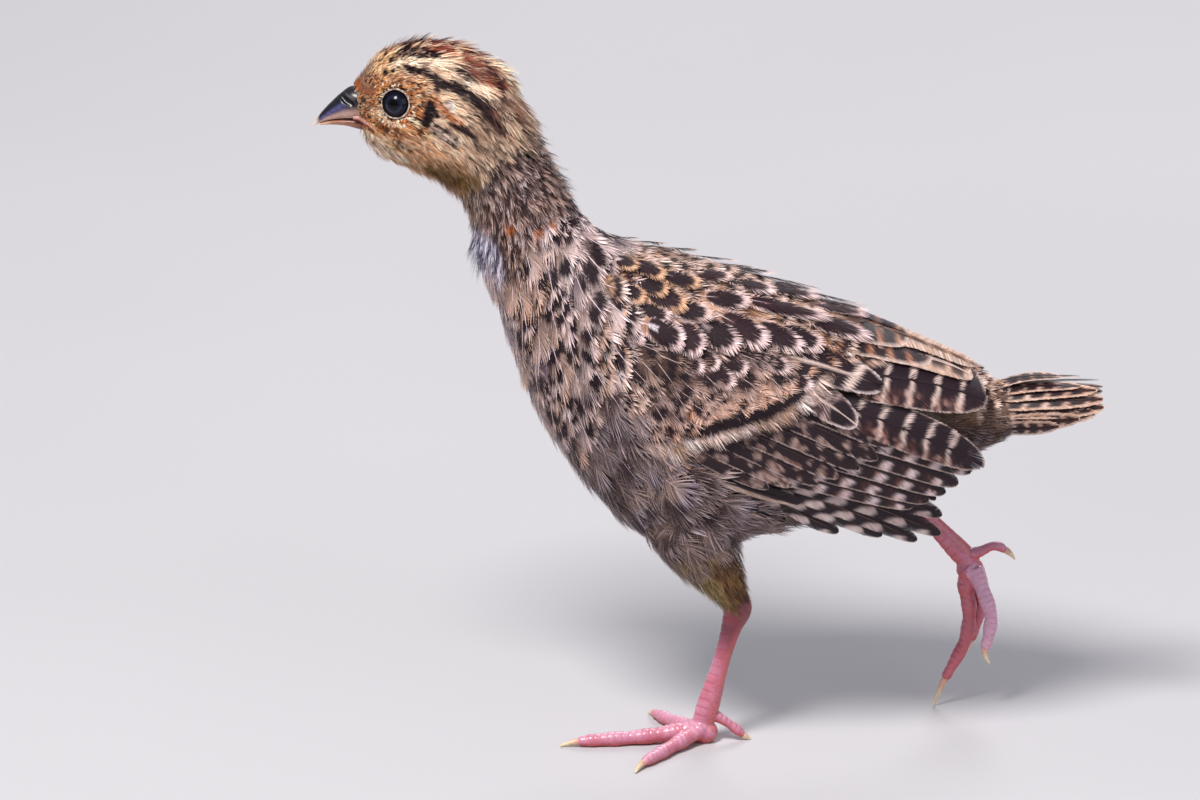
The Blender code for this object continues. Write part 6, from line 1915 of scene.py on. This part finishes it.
def scale_leg(item, side, paths):
    """Presses the scales into a leg and colours it, with painted light on top and painted shade underneath.
    """
    mesh = item.data
    count = len(mesh.vertices)
    co = np.zeros(count * 3, np.float32)
    mesh.vertices.foreach_get("co", co)
    points = co.reshape(-1, 3).astype(float) / MM - SHIFT
    normals = np.zeros(count * 3, np.float32)
    mesh.vertices.foreach_get("normal", normals)
    normals = normals.reshape(-1, 3).astype(float)
    nearest = np.full(count, 1e9)
    groove = np.zeros(count)
    pale = np.zeros(count)
    part = np.zeros(count, int)
    mm = np.zeros(count)
    front_all = np.zeros(count)
    for number, (name, (path, radii)) in enumerate(paths.items()):
        along, away, reach = near_path(points, path)
        length = sum(np.linalg.norm(b - a) for a, b in zip(path, path[1:]))
        radius = np.interp(along / length, np.linspace(0, 1, len(radii)), radii)
        score = reach / radius
        mine = score < nearest
        nearest[mine] = score[mine]
        direction = away / np.maximum(reach[:, None], 1e-6)
        if name == "shank":
            ahead = -direction[:, 0]
            period = 2.6
        else:
            ahead = direction[:, 2] if side == "left" else direction[:, 0] * (1 if name != "middle" else -1)
            period = 1.7 if name != "middle" else 2.0
        side_turn = direction[:, 1] if name == "shank" else np.cross(direction, path[-1] - path[0])[:,
                                                                                                    2] / 30
        phase = along / period + 0.12 * np.abs(side_turn)
        wave = np.abs(phase - np.round(phase)) * period
        plate = np.exp(-(wave / 0.17) ** 2) * step(-0.15, 0.3, ahead)
        cell = np.abs(noise(points[:, 0] * 1.5 + points[:, 1] * 0.8,
                            points[:, 2] * 1.5 + points[:, 1] * 0.9, 11.0) - 0.5)
        small = np.exp(-(cell / 0.07) ** 2) * step(0.25, -0.1, ahead) * 0.6
        groove[mine] = (plate + small)[mine]
        pale[mine] = (step(0.1, 0.8, ahead) * step(0.1, 0.7, wave / period * 2))[mine]
        part[mine] = number
        mm[mine] = along[mine]
        front_all[mine] = ahead[mine]
    fade = np.where((part == 0) & (mm < 6.0), 0.4, 1.0)
    moved = points - normals * (0.13 * groove * fade)[:, None] + normals * (0.05 * pale)[:, None]
    moved[:, 2] = np.maximum(moved[:, 2], 0.0)
    patch = noise(points[:, 0] * 0.3 + points[:, 1] * 0.2, points[:, 2] * 0.25, 12.0)
    # painted light: skin that faces up is mixed towards a paler pink
    colour = mix(LEG_PINK, LEG_TOP_LIGHT, 0.55 * np.clip(normals[:, 2] * 0.7 + 0.3, 0, 1))
    colour = mix(colour, LEG_RED, 0.30 * step(0.35, 0.75, patch))
    # painted shade: skin that faces down is mixed towards a darker orange red
    under = step(0.1, -0.7, normals[:, 2])
    colour = mix(colour, linear(198, 74, 58), 0.75 * under)
    shank = part == 0
    hock = step(27.0, 11.0, mm) * shank
    colour = mix(colour, mix(LEG_DEEP, LEG_RED, 0.45 * patch), 0.9 * hock)
    lines = np.where(shank, 0.35 + 0.65 * step(18.0, 28.0, mm), 0.55)
    rear = step(-0.1, -0.7, front_all) * shank * step(8.0, 14.0, mm)
    colour = mix(colour, mix(LEG_RED, linear(240, 150, 130), 0.5 * patch), 0.5 * rear)
    if side == "right":
        middle = part == list(paths).index("middle")
        colour = mix(colour, linear(190, 78, 84), 0.55 * middle)
        second = part == list(paths).index("inner")
        colour = mix(colour, linear(224, 190, 220), 0.5 * second)
    colour = mix(colour, mix(LEG_RED, LEG_DEEP, 0.4 * np.ones(count)), 0.6 * groove * lines)
    mesh.vertices.foreach_set("co", ((moved + SHIFT) * MM).astype(np.float32).ravel())
    mesh.update()
    layer = mesh.color_attributes.new("Col", "FLOAT_COLOR", "POINT")
    rgba = np.ones((count, 4), np.float32)
    rgba[:, :3] = np.clip(colour, 0, 1)
    layer.data.foreach_set("color", rgba.ravel())
    if not mesh.materials:
        mesh.materials.append(LEG_LOOK)


def build_claws(side, toes):
    for name, points in toes.items():
        before, start, tip = (np.array(points[i]) for i in (3, 4, 5))
        along = (start - before) / np.linalg.norm(start - before)
        start = start + along * 0.3
        bend = start + along * np.linalg.norm(tip - start) * 0.45
        root = min(TOE_RADII[name][4], CLAW_RADII[0])
        share = np.linspace(0, 1, 9)[:, None]
        path = start * (1 - share) ** 2 + bend * 2 * share * (1 - share) + tip * share**2
        grid = tube_grid(list(path), tuple(min(r, root) for r in CLAW_RADII), 36, 24)
        spots, faces = closed_grid(grid)
        spots[:, 2] = np.maximum(spots[:, 2], 0.0)
        reach = np.linalg.norm(spots - start, axis=1) / np.linalg.norm(tip - start)
        ridge = noise(reach * 14, spots[:, 1] * 1.5, 13.0)
        colour = mix(linear(214, 160, 140), linear(232, 210, 170), step(0.1, 0.8, reach))
        colour = colour * (0.88 + 0.2 * ridge)[:, None]
        item = new_object(f"horn_{side}_{name}", spots, faces, CLAW_LOOK, colour)
        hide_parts(f"claw_{side}_{name}")


# Studio

def build_stage():
    """A plain pale floor."""
    look = bpy.data.materials.new("studio_floor")
    look.use_nodes = True
    tree = look.node_tree
    shader = tree.nodes["Principled BSDF"]
    fine = tree.nodes.new("ShaderNodeTexNoise")
    fine.inputs["Scale"].default_value = 40.0
    ramp = tree.nodes.new("ShaderNodeValToRGB")
    ramp.color_ramp.elements[0].color = (0.50, 0.49, 0.51, 1)
    ramp.color_ramp.elements[1].color = (0.56, 0.55, 0.57, 1)
    tree.links.new(fine.outputs["Fac"], ramp.inputs["Fac"])
    tree.links.new(ramp.outputs["Color"], shader.inputs["Base Color"])
    shader.inputs["Roughness"].default_value = 0.85
    size = 6000.0
    points = np.array([(-size, -size, 0), (size, -size, 0), (size, size, 0), (-size, size, 0)], float)
    floor = new_object("floor", points, [[0, 1, 2, 3]], look, ride=False, smooth=False)


def area_light(name, place, target, size, power, tint=(1, 1, 1)):
    data = bpy.data.lights.new(name, "AREA")
    data.shape = "DISK"
    data.size = size
    data.energy = power
    data.color = tint
    lamp = bpy.data.objects.new(name, data)
    bpy.context.scene.collection.objects.link(lamp)
    lamp.location = Vector(place)
    lamp.rotation_euler = (Vector(target) - Vector(place)).to_track_quat("-Z", "Y").to_euler()


VIEW_TARGET = (-0.02914, 0.011, 0.1004)
VIEW_DISTANCE = 3.5
VIEW_ELEVATION = 20.0
VIEW_LENS = 367.5


def build_light_and_camera():
    world = bpy.data.worlds.new("studio")
    bpy.context.scene.world = world
    world.use_nodes = True
    back = world.node_tree.nodes["Background"]
    back.inputs["Color"].default_value = (0.86, 0.88, 1.0, 1)
    back.inputs["Strength"].default_value = 0.30
    middle = (0.0, 0.0, 0.1)
    area_light("key", (-0.55, -0.8, 1.65), middle, 0.6, 40.0, (1.0, 0.97, 0.95))
    area_light("fill", (1.2, -0.9, 0.8), middle, 1.2, 4.5, (0.92, 0.94, 1.0))
    area_light("rim", (0.3, 1.2, 1.0), middle, 0.8, 9.0, (1.0, 1.0, 1.0))
    data = bpy.data.cameras.new("camera")
    data.lens = VIEW_LENS
    data.sensor_width = 36.0
    data.clip_end = 50.0
    camera = bpy.data.objects.new("camera", data)
    bpy.context.scene.collection.objects.link(camera)
    rise = math.radians(VIEW_ELEVATION)
    target = Vector(VIEW_TARGET)
    camera.location = target + Vector((0, -math.cos(rise), math.sin(rise))) * VIEW_DISTANCE
    camera.rotation_euler = (target - camera.location).to_track_quat("-Z", "Y").to_euler()
    bpy.context.scene.camera = camera
    bpy.context.scene.view_settings.view_transform = "Standard"


def main():
    build_skin(BODY, WINGS)
    build_body_coat(BODY)
    build_head_coat(BODY)
    build_wing("left", WINGS["left"], np.random.default_rng(21))
    build_wing("right", WINGS["right"], np.random.default_rng(22))
    build_tail()
    build_thigh_coat()
    build_bill()
    build_gape()
    build_eyes()
    for side, leg, toes in (("left", LEFT_LEG, LEFT_TOES), ("right", RIGHT_LEG, RIGHT_TOES)):
        build_leg(side, leg, toes)
        build_claws(side, toes)
    build_stage()
    build_light_and_camera()


main()
